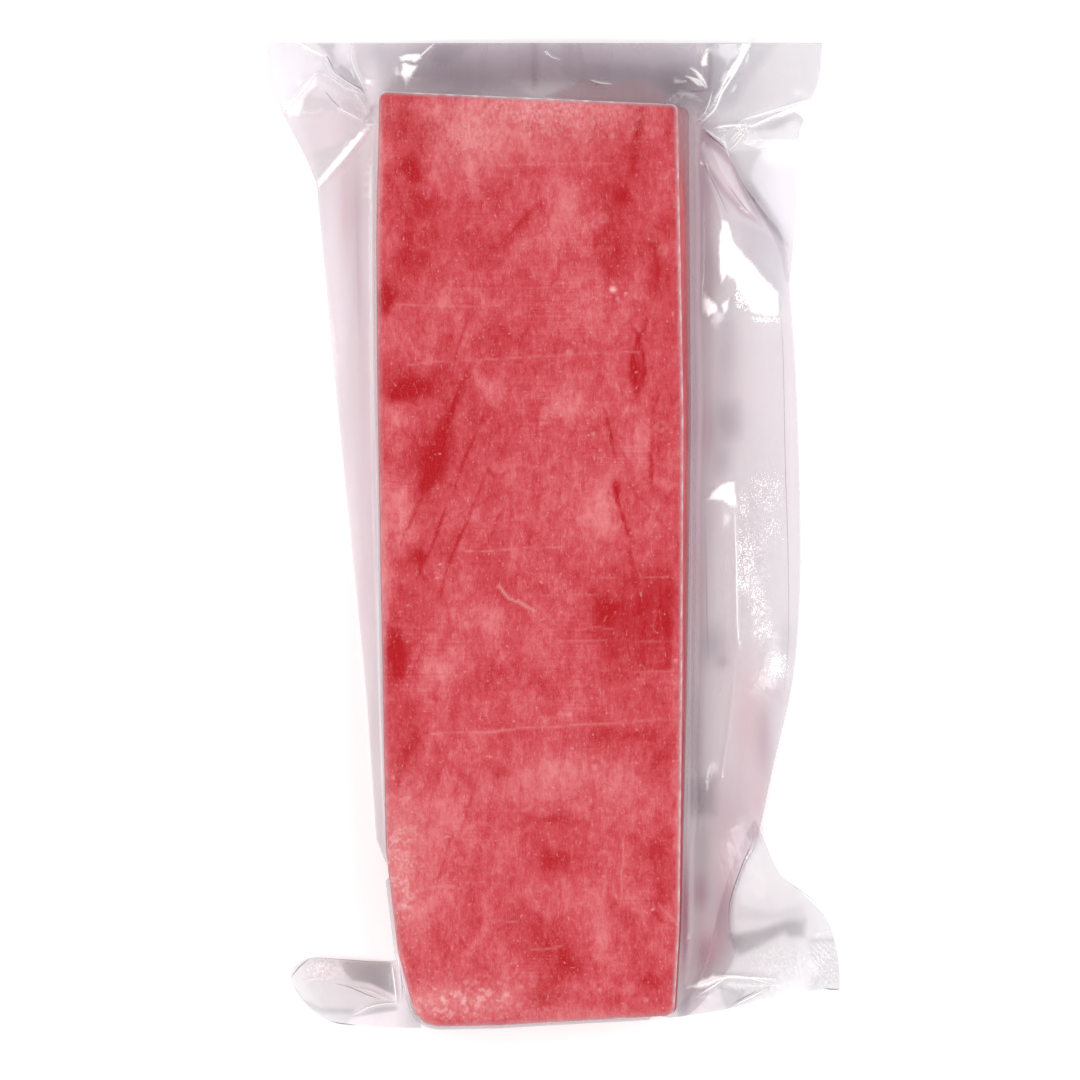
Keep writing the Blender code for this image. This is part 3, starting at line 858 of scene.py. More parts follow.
def from_line(px, py, points):
    """How far photo pixels are from a line through points, and how far along it, from 0 to 1."""
    distance = np.full(px.shape, np.inf)
    along = np.zeros(px.shape)
    pieces = len(points) - 1
    for index, ((ax, ay), (bx, by)) in enumerate(zip(points, points[1:])):
        length = math.hypot(bx - ax, by - ay)
        share = np.clip(((px - ax) * (bx - ax) + (py - ay) * (by - ay)) / length**2, 0, 1)
        apart = np.hypot(px - ax - share * (bx - ax), py - ay - share * (by - ay))
        nearer = apart < distance
        distance = np.where(nearer, apart, distance)
        along = np.where(nearer, (index + share) / pieces, along)
    return distance, along


def smooth_curve(controls, steps=24):
    """A Catmull-Rom curve through the control points, ends included, as an array."""
    p = np.array(controls, float)
    p = np.vstack([2 * p[0] - p[1], p, 2 * p[-1] - p[-2]])
    t = (np.arange(steps) / steps)[:, None]
    pieces = []
    for a, b, c, d in zip(p, p[1:], p[2:], p[3:]):
        curved = (2 * a - 5 * b + 4 * c - d) * t**2 / 2 + (3 * b - a - 3 * c + d) * t**3 / 2
        pieces.append(b + (c - a) * t / 2 + curved)
    return np.vstack([*pieces, p[-2:-1]])


def lengths_along(points):
    """Distance from the first point to each point, along the line through them."""
    return np.concatenate([[0.0], np.cumsum(np.linalg.norm(np.diff(points, axis=0), axis=1))])


def at_shares(points, shares):
    """Points at these shares of the line's length."""
    lengths = lengths_along(points)
    wanted = np.asarray(shares) * lengths[-1]
    return np.stack([np.interp(wanted, lengths, points[:, axis]) for axis in (0, 1)], axis=1)


def outward(outline):
    """Unit normals of an anticlockwise closed outline."""
    along = np.roll(outline, -1, axis=0) - np.roll(outline, 1, axis=0)
    normals = np.stack([along[:, 1], -along[:, 0]], axis=1)
    return normals / np.linalg.norm(normals, axis=1)[:, None]


def rounded_outline(corners):
    """A closed outline whose corners are arcs, with the same number of points at each corner."""
    points = []
    for index, (x, y, radius) in enumerate(corners):
        corner = Vector((x, y))
        before = (Vector(corners[index - 1][:2]) - corner).normalized()
        after = (Vector(corners[(index + 1) % len(corners)][:2]) - corner).normalized()
        half_angle = before.angle(after) / 2
        centre = corner + (before + after).normalized() * radius / math.sin(half_angle)
        spoke = corner + before * radius / math.tan(half_angle) - centre
        turn = math.pi - 2 * half_angle
        for step in range(CORNER_STEPS):
            angle = turn * step / (CORNER_STEPS - 1)
            cosine, sine = math.cos(angle), math.sin(angle)
            turned = (spoke.x * cosine - spoke.y * sine, spoke.x * sine + spoke.y * cosine)
            points.append((centre.x + turned[0], centre.y + turned[1]))
    return np.array(points)


def new_piece(name, bm, node, material, smooth_angle=None):
    """The bmesh, in millimetres, as a piece in metres that rides on the pack."""
    bmesh.ops.scale(bm, vec=(MM, MM, MM), verts=bm.verts)
    mesh = bpy.data.meshes.new(name)
    bm.to_mesh(mesh)
    bm.free()
    mesh.shade_smooth()
    if smooth_angle:
        mesh.set_sharp_from_angle(angle=smooth_angle)
    mesh.materials.append(material)
    piece = bpy.data.objects.new(name, mesh)
    bpy.context.scene.collection.objects.link(piece)
    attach(piece, "root")
    if node:
        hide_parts(node)
    return piece


def vertex_places(mesh):
    """The mesh's vertices in millimetres."""
    places = np.empty(len(mesh.vertices) * 3, np.float32)
    mesh.vertices.foreach_get("co", places)
    return places.reshape(-1, 3).astype(float) / MM


def set_values(mesh, name, values):
    """A named number for each vertex, for the material to read."""
    layer = mesh.attributes.new(name, "FLOAT", "POINT")
    layer.data.foreach_set("value", np.asarray(values, np.float32))


def set_colours(mesh, name, colours):
    """A named colour for each vertex, for the material to read."""
    layer = mesh.attributes.new(name, "FLOAT_COLOR", "POINT")
    filled = np.ones((len(colours), 4), np.float32)
    filled[:, :3] = colours
    layer.data.foreach_set("color", filled.ravel())


class Socket:
    """An output of a shader node. Sums on it add the Math nodes that work them out."""

    def __init__(self, recipe, output):
        self.recipe = recipe
        self.output = output

    def math(self, operation, *values, clamp=False):
        return self.recipe.math(operation, self, *values, clamp=clamp)

    def __add__(self, other):
        return self.math("ADD", other)

    def __radd__(self, other):
        return self.math("ADD", other)

    def __sub__(self, other):
        return self.math("SUBTRACT", other)

    def __rsub__(self, other):
        return self.recipe.math("SUBTRACT", other, self)

    def __mul__(self, other):
        return self.math("MULTIPLY", other)

    def __rmul__(self, other):
        return self.math("MULTIPLY", other)

    def clamped(self):
        return self.math("ADD", 0.0, clamp=True)

    def between(self, low, high):
        """0 below low, 1 above high, and smooth between them."""
        settings = {"interpolation_type": "SMOOTHSTEP"}
        inputs = {"Value": self, "From Min": low, "From Max": high}
        return self.recipe.node("ShaderNodeMapRange", settings, inputs)


class Recipe:
    """A material whose nodes are added one by one."""

    def __init__(self, name):
        self.material = bpy.data.materials.new(name)
        self.material.use_nodes = True
        self.tree = self.material.node_tree
        self.shader = self.tree.nodes["Principled BSDF"]

    def node(self, kind, settings, inputs, output=0):
        """Adds a node of this kind, with its settings made before its inputs are filled."""
        made = self.tree.nodes.new(kind)
        for name, value in settings.items():
            if name == "stops":
                self.set_stops(made.color_ramp, value)
            else:
                setattr(made, name, value)
        for name, value in inputs.items():
            self.fill(made.inputs[name], value)
        return Socket(self, made.outputs[output])

    def fill(self, socket, value):
        if isinstance(value, Socket):
            self.tree.links.new(value.output, socket)
        else:
            socket.default_value = value

    def set_stops(self, ramp, stops):
        while len(ramp.elements) < len(stops):
            ramp.elements.new(1.0)
        for element, (position, colour) in zip(ramp.elements, stops):
            element.position = position
            element.color = (*colour, 1.0)

    def math(self, operation, *values, clamp=False):
        inputs = dict(enumerate(values))
        return self.node("ShaderNodeMath", {"operation": operation, "use_clamp": clamp}, inputs)

    def value(self, name):
        """The number of this name at the vertex."""
        return self.node("ShaderNodeAttribute", {"attribute_name": name}, {}, "Fac")

    def colour(self, name):
        """The colour of this name at the vertex."""
        return self.node("ShaderNodeAttribute", {"attribute_name": name}, {}, "Color")

    def place(self, scale):
        """Object coordinates stretched to a pattern with this many repeats a metre each way."""
        place = self.node("ShaderNodeTexCoord", {}, {}, "Object")
        return self.node("ShaderNodeMapping", {}, {"Vector": place, "Scale": scale})

    def noise(self, scale, detail=2.0, roughness=0.5, distortion=0.0):
        inputs = {"Vector": self.place(scale), "Scale": 1.0, "Detail": detail}
        inputs.update({"Roughness": roughness, "Distortion": distortion})
        return self.node("ShaderNodeTexNoise", {"noise_dimensions": "3D"}, inputs)

    def mixed(self, share, first, second):
        """A colour between two colours."""
        settings = {"data_type": "RGBA", "blend_type": "MIX"}
        inputs = {0: share, 6: first, 7: second}
        return self.node("ShaderNodeMix", settings, inputs, 2)

    def bump(self, height, distance, strength=1.0, normal=None):
        inputs = {"Height": height, "Distance": distance, "Strength": strength}
        if normal:
            inputs["Normal"] = normal
        return self.node("ShaderNodeBump", {}, inputs)

    def finish(self, **inputs):
        """Fills the surface shader's own sockets and gives the material."""
        for name, value in inputs.items():
            self.fill(self.shader.inputs[name.replace("_", " ")], value)
        return self.material


def linear(colour):
    """A colour as it is seen, 0 to 1, as the renderer's linear one."""
    return tuple(c / 12.92 if c <= 0.04045 else ((c + 0.055) / 1.055) ** 2.4 for c in colour)


def opaque(colour):
    return (*colour, 1.0)


class BlockSettings(bpy.types.PropertyGroup):
    """Size and colours of the block."""

    thickness: FloatProperty(
        name="Thickness",
        description="From the foot to the shown face",
        default=24.0 * MM,
        unit="LENGTH",
    )
    edge: FloatProperty(
        name="Edge",
        description="Radius of the long edges",
        default=0.8 * MM,
        unit="LENGTH",
    )
    across: IntProperty(name="Across", description="Faces across the block", default=160)
    along: IntProperty(name="Along", description="Faces along the block", default=480)
    flesh: FloatVectorProperty(
        name="Flesh",
        description="Usual colour",
        default=linear((0.75, 0.26, 0.295)),
        subtype="COLOR",
    )
    deep: FloatVectorProperty(
        name="Deep",
        description="Colour of the deep red patches",
        default=linear((0.655, 0.0, 0.06)),
        subtype="COLOR",
    )
    pale: FloatVectorProperty(
        name="Pale",
        description="Colour of the pale flesh",
        default=linear((0.84, 0.47, 0.48)),
        subtype="COLOR",
    )
    frost: FloatVectorProperty(
        name="Frost",
        description="Colour of the frost",
        default=linear((0.88, 0.66, 0.66)),
        subtype="COLOR",
    )


class FilmSettings(bpy.types.PropertyGroup):
    """Size and look of the bag's film."""

    stations: IntProperty(
        name="Stations",
        description="Lines of the film round the bag",
        default=1150,
    )
    fin_rings: IntProperty(
        name="Fin rings",
        description="Rings across the upper web's fins",
        default=52,
    )
    least_veil: FloatProperty(
        name="Least veil",
        description="How much the clearest film hides",
        default=0.34,
        subtype="FACTOR",
    )
    roughness: FloatProperty(
        name="Roughness",
        description="Blur of the film's gloss",
        default=0.12,
        subtype="FACTOR",
    )


class StudioSettings(bpy.types.PropertyGroup):
    """The floor, the lights and the camera."""

    floor: FloatVectorProperty(
        name="Floor",
        description="Colour of the floor",
        default=(0.98, 0.98, 0.98),
        subtype="COLOR",
    )
    ambient: FloatProperty(
        name="Ambient",
        description="Strength of the light all round",
        default=0.715,
    )
    lens: FloatProperty(name="Lens", description="Focal length in millimetres", default=800.0)


def block_height(settings):
    return settings.thickness / MM


def on_line(points, x):
    """Where the line through points that go right is at x. Its ends go on straight."""
    piece = np.clip(np.searchsorted(points[:, 0], x) - 1, 0, len(points) - 2)
    start, end = points[piece], points[piece + 1]
    return start[:, 1] + (x - start[:, 0]) * (end[:, 1] - start[:, 1]) / (end[:, 0] - start[:, 0])


class Face:
    """One face of the block as a grid: u runs across it and v along it, both from 0 to 1."""

    def __init__(self, outline, corners):
        self.top = np.array([corners[index][:2] for index in MOUTH_END])
        self.bottom = np.array([corners[index][:2] for index in FAR_END])
        heights = self.height(outline)
        order = np.argsort(heights)
        low, high = outline[:, 0].min(), outline[:, 0].max()
        across = (outline[:, 0] - low) / (high - low)
        self.left = np.array([(heights[i], outline[i, 0]) for i in order if across[i] < 0.25])
        self.right = np.array([(heights[i], outline[i, 0]) for i in order if across[i] > 0.75])
        self.low, self.high = heights.min(), heights.max()

    def ends(self, x):
        """Where the edges of the far end and the mouth's end are at x."""
        return on_line(self.bottom, x), on_line(self.top, x)

    def height(self, places):
        """How far up between those edges places are, from 0 to 1."""
        bottom, top = self.ends(places[:, 0])
        return (places[:, 1] - bottom) / (top - bottom)

    def at(self, u, v):
        height = self.low + (self.high - self.low) * v
        left = np.interp(height, self.left[:, 0], self.left[:, 1])
        right = np.interp(height, self.right[:, 0], self.right[:, 1])
        x = left + (right - left) * u
        bottom, top = self.ends(x)
        return np.stack([x, bottom + height * (top - bottom)], axis=1)


def boundary_loop(bm):
    """The open edge of a mesh as a list of vertices in order, anticlockwise seen from above."""
    start = next(e for e in bm.edges if e.is_boundary)
    loop = [start.verts[0], start.verts[1]]
    while True:
        onward = next(
            e.other_vert(loop[-1])
            for e in loop[-1].link_edges
            if e.is_boundary and e.other_vert(loop[-1]) != loop[-2]
        )
        if onward == loop[0]:
            break
        loop.append(onward)
    turning = sum(a.co.x * b.co.y - b.co.x * a.co.y for a, b in zip(loop, loop[1:] + loop[:1]))
    return loop if turning > 0 else loop[::-1]


def grow(bm, ring, points):
    """Extrudes a ring of vertices to a new ring at these points."""
    edges = [bm.edges.get((a, b)) for a, b in zip(ring, ring[1:] + ring[:1])]
    grown = bmesh.ops.extrude_edge_only(bm, edges=edges)["geom"]
    new = {item for item in grown if isinstance(item, bmesh.types.BMVert)}
    ring = [next(e.other_vert(v) for e in v.link_edges if e.other_vert(v) in new) for v in ring]
    for vert, point in zip(ring, points):
        vert.co = point
    return ring


def raised(places, heights):
    """Flat places with a height each."""
    return np.column_stack([places, np.broadcast_to(heights, len(places))])


def strays(places, wave):
    """A smooth stray at each place, as x and y from -1 to 1, the same each run."""
    noise.seed_set(STRAY_SEED)
    return np.array([noise.noise_vector(Vector(p) / wave) for p in places])[:, :2]


def flesh_marks(places, thickness):
    """How deep red, how frosted, how pitted and how scored the flesh is at each place."""
    stray = strays(places, STRAY_WAVE)
    px, py = photo_pixels(places[:, :2] + stray * PATCH_STRAY)
    tremble = strays(places, TREMBLE_WAVE)
    line_x, line_y = photo_pixels(places[:, :2] + stray * LINE_STRAY + tremble * TREMBLE)
    redness = np.zeros(len(places))
    for x, y, half_width, half_height, lean, strength in DEEP_PATCHES:
        redness += strength * in_patch(px, py, x, y, half_width, half_height, lean)
    for x, y, half_width, half_height, lean, strength in PALE_PATCHES:
        redness -= strength * in_patch(px, py, x, y, half_width, half_height, lean)
    patchy = np.array([noise.noise(Vector(p) / TAPER_WAVE) for p in places])
    for points, half_width, strength in VEINS:
        distance, along = from_line(line_x, line_y, points)
        taper = np.sqrt(np.clip(4 * along * (1 - along), 0, 1)) * (TAPER + patchy)
        redness += strength * taper * np.exp(-((distance / (half_width * LINE_SPREAD)) ** 2))
    score = np.zeros(len(places))
    for points, half_width, strength in SAW_LINES:
        distance, _ = from_line(line_x, line_y, points)
        apart = distance / (half_width * LINE_SPREAD)
        score = np.maximum(score, strength * np.exp(-(apart**2)))
    for x, y, radius, strength in FLECKS:
        apart = np.hypot(line_x - x, line_y - y) / radius
        score = np.maximum(score, strength * np.exp(-(apart**4)))
    for x, y, radius, strength in RINGS:
        apart = (np.hypot(line_x - x, line_y - y) - radius) / RING_WIDTH
        score = np.maximum(score, strength * np.exp(-(apart**2)))
    frost = np.zeros(len(places))
    for x, y, half_width, half_height, strength in FROST_PATCHES:
        frost = np.maximum(frost, strength * in_patch(px, py, x, y, half_width, half_height))
    pits = np.zeros(len(places))
    for x, y, half_width, half_height, strength in PIT_PATCHES:
        pits = np.maximum(pits, strength * in_patch(px, py, x, y, half_width, half_height))
    shown = np.clip((places[:, 2] - thickness + MARKS_END) / MARKS_FADE, 0, 1)
    redness = redness * (SIDE_REDNESS + (1 - SIDE_REDNESS) * shown)
    return redness, frost * shown, pits * shown, score * shown


def flesh_material(settings):
    """Frozen tuna: a lengthwise grain, cloudy deep and pale flesh, veins, frost and saw marks."""
    recipe = Recipe("frozen_tuna")
    redness = recipe.value("redness")
    frost = recipe.value("frost")
    pits = recipe.value("pits")
    score = recipe.value("score")
    clouds = recipe.noise((130, 90, 100), detail=3.0, roughness=0.55, distortion=0.8)
    mottle = recipe.noise((430, 330, 400), detail=4.0, roughness=0.62, distortion=0.6)
    streaks = recipe.noise((900, 150, 500), detail=3.0, roughness=0.6, distortion=0.7)
    grain = recipe.noise((3300, 620, 1500), detail=2.0, roughness=0.6, distortion=0.4)
    specks = recipe.noise((2700, 2400, 2700), detail=2.0, roughness=0.7)
    sawn = recipe.noise((60, 2300, 1500), detail=1.0)
    sawn_where = recipe.noise((45, 60, 60), detail=1.0).between(0.45, 0.7)
    depth = (
        redness * 1.25
        + (clouds - 0.5) * 1.5
        + (mottle - 0.5) * 1.5
        + (streaks - 0.5) * 0.7
        + (grain - 0.5) * (frost * 1.6 + 0.8)
        + (specks - 0.5) * 0.7
        + (sawn - 0.5) * sawn_where * 0.6
    )
    usual, deep, pale = settings.flesh, settings.deep, settings.pale
    stops = (
        (0.0, pale),
        (0.42, usual),
        (0.68, [(u * 0.3 + d * 0.7) for u, d in zip(usual, deep)]),
        (0.92, deep),
    )
    shift = (depth * 0.42 + 0.42).clamped()
    colour = recipe.node("ShaderNodeValToRGB", {"stops": stops}, {"Fac": shift})
    wisps = recipe.noise((2400, 900, 1500), detail=2.0, distortion=1.2).between(0.60, 0.74)
    colour = recipe.mixed(wisps * 0.3, colour, opaque(settings.frost))
    flour = recipe.noise((1300, 650, 1300), detail=3.0, roughness=0.7).between(0.44, 0.62)
    dust = (specks * 0.45 + grain * 0.55).between(0.44, 0.58)
    dusted = (dust * 0.5 + flour * 0.5) * frost
    colour = recipe.mixed(dusted * 0.85, colour, opaque(settings.frost))
    pitting = recipe.noise((560, 560, 560), detail=3.0, roughness=0.6)
    pit_rims = pitting.between(0.54, 0.66) * pits
    colour = recipe.mixed(pit_rims * 0.6, colour, opaque(settings.frost))
    dots = recipe.noise((900, 900, 900), detail=1.0).between(0.73, 0.78)
    colour = recipe.mixed(dots * 0.3, colour, opaque(settings.frost))
    broken = (score * (mottle + specks * 1.2 - 0.5)).clamped()
    colour = recipe.mixed(broken, colour, opaque(linear(SCRATCH_TONE)))
    surface = (
        grain * 0.3
        + mottle * 0.5
        + sawn * sawn_where * 0.2
        + pitting * pits * 2.0
        + broken * 0.6
    )
    return recipe.finish(
        Base_Color=colour,
        Roughness=0.5 + dusted * 0.2,
        Normal=recipe.bump(surface, 0.25 * MM, strength=0.6),
        Specular_IOR_Level=0.12,
    )


def make_tuna_block(settings):
    """The block: a sawn slab whose shown face has its marks and low relief."""
    thickness = block_height(settings)
    edge = settings.edge / MM
    faces = []
    for corners in (TOP_CORNERS, BASE_CORNERS):
        outline = rounded_outline(corners)
        faces.append(Face(outline - outward(outline) * edge, corners))
    top, base = faces
    bm = bmesh.new()
    bmesh.ops.create_grid(bm, x_segments=settings.across, y_segments=settings.along, size=1.0)
    bm.verts.ensure_lookup_table()
    grid = np.array([v.co for v in bm.verts])[:, :2] / 2 + 0.5
    places = top.at(grid[:, 0], grid[:, 1])
    lean = base.at(grid[:, 0], grid[:, 1]) - places
    for vert, (x, y) in zip(bm.verts, places):
        relief = sum(
            noise.noise(Vector((x, y, layer)) / wave) * height for layer, wave, height in FACE_WAVES
        )
        vert.co = (x, y, thickness - FACE_DROP + relief)
    loop = boundary_loop(bm)
    numbers = [v.index for v in loop]
    start, lean = places[numbers], lean[numbers]
    normals = outward(start)
    edge_heights = np.array([v.co.z for v in loop])
    ring = loop
    for step in range(1, EDGE_STEPS + 1):
        angle = math.pi / 2 * step / EDGE_STEPS
        down = edge * (1 - math.cos(angle))
        ring = grow(bm, ring, raised(start + normals * edge * math.sin(angle), edge_heights - down))
    side_tops = edge_heights - edge
    for step in range(1, SIDE_STEPS + 1):
        share = step / SIDE_STEPS
        heights = side_tops * (1 - share) + edge * share
        waves = [Vector(point) / SIDE_WAVE for point in raised(start, heights)]
        waviness = np.array([noise.noise(wave) * SIDE_WAVE_HEIGHT for wave in waves])
        out = edge + (waviness - SIDE_WAVE_HEIGHT) * math.sin(math.pi * share)
        ring = grow(bm, ring, raised(start + normals * out[:, None] + lean * share, heights))
    rounding = FOOT_ROUNDING * edge
    ring = grow(bm, ring, raised(start + lean + normals * rounding, rounding))
    ring = grow(bm, ring, raised(start + lean, FOOT_CLEARANCE))
    bm.faces.new(ring)
    bmesh.ops.recalc_face_normals(bm, faces=bm.faces)
    piece = new_piece("tuna_flesh", bm, BLOCK_NODE, flesh_material(settings))
    names = ("redness", "frost", "pits", "score")
    for name, values in zip(names, flesh_marks(vertex_places(piece.data), thickness)):
        set_values(piece.data, name, values)
    return piece


class BlockOutline:
    """The outlines of the block's base and top, and where places lie round them."""

    def __init__(self):
        self.base = rounded_outline(BASE_CORNERS)
        self.top = rounded_outline(TOP_CORNERS)
        closed = np.vstack([self.base, self.base[:1]])
        self.starts = lengths_along(closed)
        self.length = self.starts[-1]

    def nearest(self, places):
        """How far round the base outline the nearest point to each place is."""
        best = np.full(len(places), np.inf)
        spots = np.zeros(len(places))
        for index, start in enumerate(self.base):
            side = self.base[(index + 1) % len(self.base)] - start
            share = np.clip((places - start) @ side / (side @ side), 0, 1)
            distance = np.linalg.norm(places - start - share[:, None] * side, axis=1)
            nearer = distance < best
            best = np.where(nearer, distance, best)
            spots = np.where(nearer, self.starts[index] + share * np.linalg.norm(side), spots)
        return spots

    def at(self, spots):
        """The base points this far round the outline, and the top points above them."""
        spots = np.mod(spots, self.length)
        found = []
        for outline in (self.base, self.top):
            closed = np.vstack([outline, outline[:1]])
            places = [np.interp(spots, self.starts, closed[:, axis]) for axis in (0, 1)]
            found.append(np.stack(places, axis=1))
        return found

    def foot_between(self, start, end, steps=400):
        """The line a foot's margin outside the base, from near one place to near another."""
        first, last = self.nearest(np.array([start, end]))
        base = self.at(np.linspace(first, last, steps))[0]
        return base + outward(base) * FOOT_MARGIN


def fin_height(places, distance):
    """Height of the fins' middle at places, this far out from the block's side."""
    x, y = places[:, 0], places[:, 1]
    risen = 1 - np.exp(-((distance / FIN_RISE_REACH) ** 2))
    wave = np.sin(2 * math.pi * (y + WAVE_SLANT * x) / WAVE_LENGTH)
    height = FIN_REST + risen * (FIN_RISE + WAVE_HEIGHT * wave)
    for curl_x, curl_y, radius, lift in CURLS:
        apart = np.hypot(x - curl_x, y - curl_y) / radius
        height += risen * lift * np.exp(-(apart**2))
    return height


def in_polygon(px, py, points, softness=1.2):
    """Photo pixels inside a polygon: 1 inside, 0 outside, with a soft edge."""
    inside = np.zeros(px.shape, bool)
    for (ax, ay), (bx, by) in zip(points, points[1:] + points[:1]):
        if ay != by:
            crossing = ax + (py - ay) / (by - ay) * (bx - ax)
            inside ^= ((ay > py) != (by > py)) & (px < crossing)
    distance, _ = from_line(px, py, points + points[:1])
    return np.clip(0.5 + np.where(inside, distance, -distance) / softness / 2, 0, 1)


def film_sparkles(places):
    """How thickly the painted sparkling highlights, fine white dots, lie in the film at places."""
    px, py = photo_pixels(places)
    sparkle = np.zeros(len(places))
    for x, y, half_width, half_height, strength in SPARKLES:
        apart = ((px - x) / half_width) ** 4 + ((py - y) / half_height) ** 4
        sparkle = np.maximum(sparkle, strength * np.exp(-apart))
    return sparkle


def film_relief(places):
    """Height of the folds and puffs of the film at places, and how white it is there from its creases and
    from painted highlights.
    """
    px, py = photo_pixels(places)
    height = np.zeros(len(places))
    white = np.zeros(len(places))
    for x, y, half_width, half_height, lift in PUFFS:
        height += lift * in_patch(px, py, x, y, half_width, half_height)
    for points, half_width, lift, whiteness in CREASES:
        distance, along = from_line(px, py, points)
        taper = np.clip(6 * along * (1 - along), CREASE_END, 1)
        apart = distance * PHOTO_MM / (half_width * taper)
        height += lift * taper * np.exp(-apart / CREASE_REACH)
        white = np.maximum(white, whiteness * np.exp(-(apart**2)))
    px, py = photo_pixels(places + strays(raised(places, 0.0), FLASH_WAVE) * FLASH_WANDER)
    for whiteness, points in FLASHES:
        white = np.maximum(white, whiteness * in_polygon(px, py, points))
    return height, white


def film_glints(places, white):
    """How brightly the film glows at places, where it is this white: a painted glow on its whitest parts
    and at the gleams.
    """
    px, py = photo_pixels(places)
    glint = np.clip((white - GLINT_FROM) / (1 - GLINT_FROM), 0, 1)
    for x, y, half_width, half_height, strength in GLEAMS:
        glint = np.maximum(glint, strength * in_patch(px, py, x, y, half_width, half_height))
    return glint


def film_crinkles(places):
    """How finely crinkled the film is at places."""
    px, py = photo_pixels(places)
    crinkle = np.full(len(places), CRINKLE_LEAST)
    for x, y, half_width, half_height, strength in CRINKLES:
        crinkle = np.maximum(crinkle, strength * in_patch(px, py, x, y, half_width, half_height))
    return crinkle


def film_tones(places):
    """The film's tone at places, as it looks over white, with its painted light and shade."""
    px, py = photo_pixels(places)
    tone = np.tile(CLEAR_TONE, (len(places), 1))
    for x, y, half_width, half_height, patch_tone, strength in FILM_TINT_AND_SHADE_PATCHES:
        share = strength * in_patch(px, py, x, y, half_width, half_height)[:, None]
        tone = tone * (1 - share) + np.array(patch_tone) * share
    for facet_tone, strength, softness, points in LIT_AND_SHADED_FACETS:
        share = strength * in_polygon(px, py, points, softness)[:, None]
        tone = tone * (1 - share) + np.array(facet_tone) * share
    return tone


def film_looks(tone, white, least_veil):
    """Colour and veil of film that looks of this tone over white, with its creases and painted highlights
    whitened.
    """
    tone = np.array([linear(t) for t in tone])
    grey = tone.mean(axis=1)
    veil = least_veil + (1 - grey) * DARK_VEIL
    behind = 1 - veil[:, None]
    colour = np.clip((tone - behind) / veil[:, None], *COLOUR_LIMITS)
    white = white[:, None]
    colour = colour * (1 - white) + CREASE_AND_HIGHLIGHT_WHITE * white
    veil = veil * (1 - white[:, 0]) + CREASE_AND_HIGHLIGHT_VEIL * white[:, 0]
    return colour, veil


def film_material(settings, name):
    """Clear film: a thin veil whose tone and strength each vertex holds, glossy and finely crinkled, with
    painted sparkling highlights and a painted glow.
    """
    recipe = Recipe(name)
    tone = recipe.colour("tone")
    veil = recipe.value("veil")
    crinkle = recipe.noise((260, 160, 260), detail=3.0, roughness=0.6)
    fine = recipe.noise((1300, 900, 1300), detail=2.0)
    speckle = (fine - 0.5) * recipe.value("crinkle").between(0.2, 1.0)
    crinkle = (crinkle + fine * 0.15) * recipe.value("crinkle")
    normal = recipe.bump(crinkle, 1.4 * MM, strength=0.6)
    banding = recipe.noise((160, 24, 160), detail=2.0)
    # Painted sparkling highlights: fine white dots that whiten and veil the film, and glow.
    dotted = recipe.noise((2500, 2000, 2500), detail=2.0, roughness=0.6)
    dots = (dotted + recipe.value("sparkle") * 0.34).between(0.92, 0.98)
    tone = recipe.mixed(dots, tone, opaque((CREASE_AND_HIGHLIGHT_WHITE,) * 3))
    veil = (veil * (0.86 + banding * 0.28 + speckle * 2.2) + dots * CREASE_AND_HIGHLIGHT_VEIL).clamped()
    # A painted glow on the sparkles and where each vertex holds one.
    shine = (dots + recipe.value("glint")).clamped()
    glint = recipe.mixed(shine, opaque((0.0,) * 3), opaque((1.0,) * 3))
    return recipe.finish(
        Base_Color=tone,
        Alpha=veil,
        Emission_Color=glint,
        Emission_Strength=GLINT_STRENGTH,
        Normal=normal,
        Roughness=settings.roughness,
        IOR=1.5,
        Specular_IOR_Level=0.4,
        Coat_Weight=0.15,
        Coat_Roughness=0.05,
    )


def bag_outline(block, stations):
    """Points along the bag's outline, evenly spaced in each stretch, with one on every corner."""
    stretches = [
        smooth_curve(MOUTH),
        smooth_curve(TOP_LEFT_FLAP),
        smooth_curve(LEFT_FIN),
        block.foot_between(*FOOT_ROUND_CORNER),
        smooth_curve(RIGHT_FIN_END),
        smooth_curve(RIGHT_FIN),
        smooth_curve(FIN_FOLD),
        smooth_curve(FIN_NOTCH),
        smooth_curve(TOP_RIGHT_FLAP),
    ]
    joined = []
    for stretch, following in zip(stretches, stretches[1:] + stretches[:1]):
        gap = np.linalg.norm(stretch[-1] - following[0]) > MM
        joined.append(np.vstack([stretch, following[:1]]) if gap else stretch)
    total = sum(lengths_along(stretch)[-1] for stretch in joined)
    points = []
    for stretch in joined:
        count = round(stations * lengths_along(stretch)[-1] / total)
        points.append(at_shares(stretch, np.arange(count) / count))
    return np.vstack(points)


def evened_starts(outline, block):
    """How far round the block each line of the film starts, evened out and always increasing."""
    spots = np.unwrap(block.nearest(outline), period=block.length)
    for _ in range(EVENING_PASSES):
        before = np.concatenate([[spots[-1] - block.length], spots[:-1]])
        after = np.concatenate([spots[1:], [spots[0] + block.length]])
        spots = (before + spots + after) / 3
    return spots


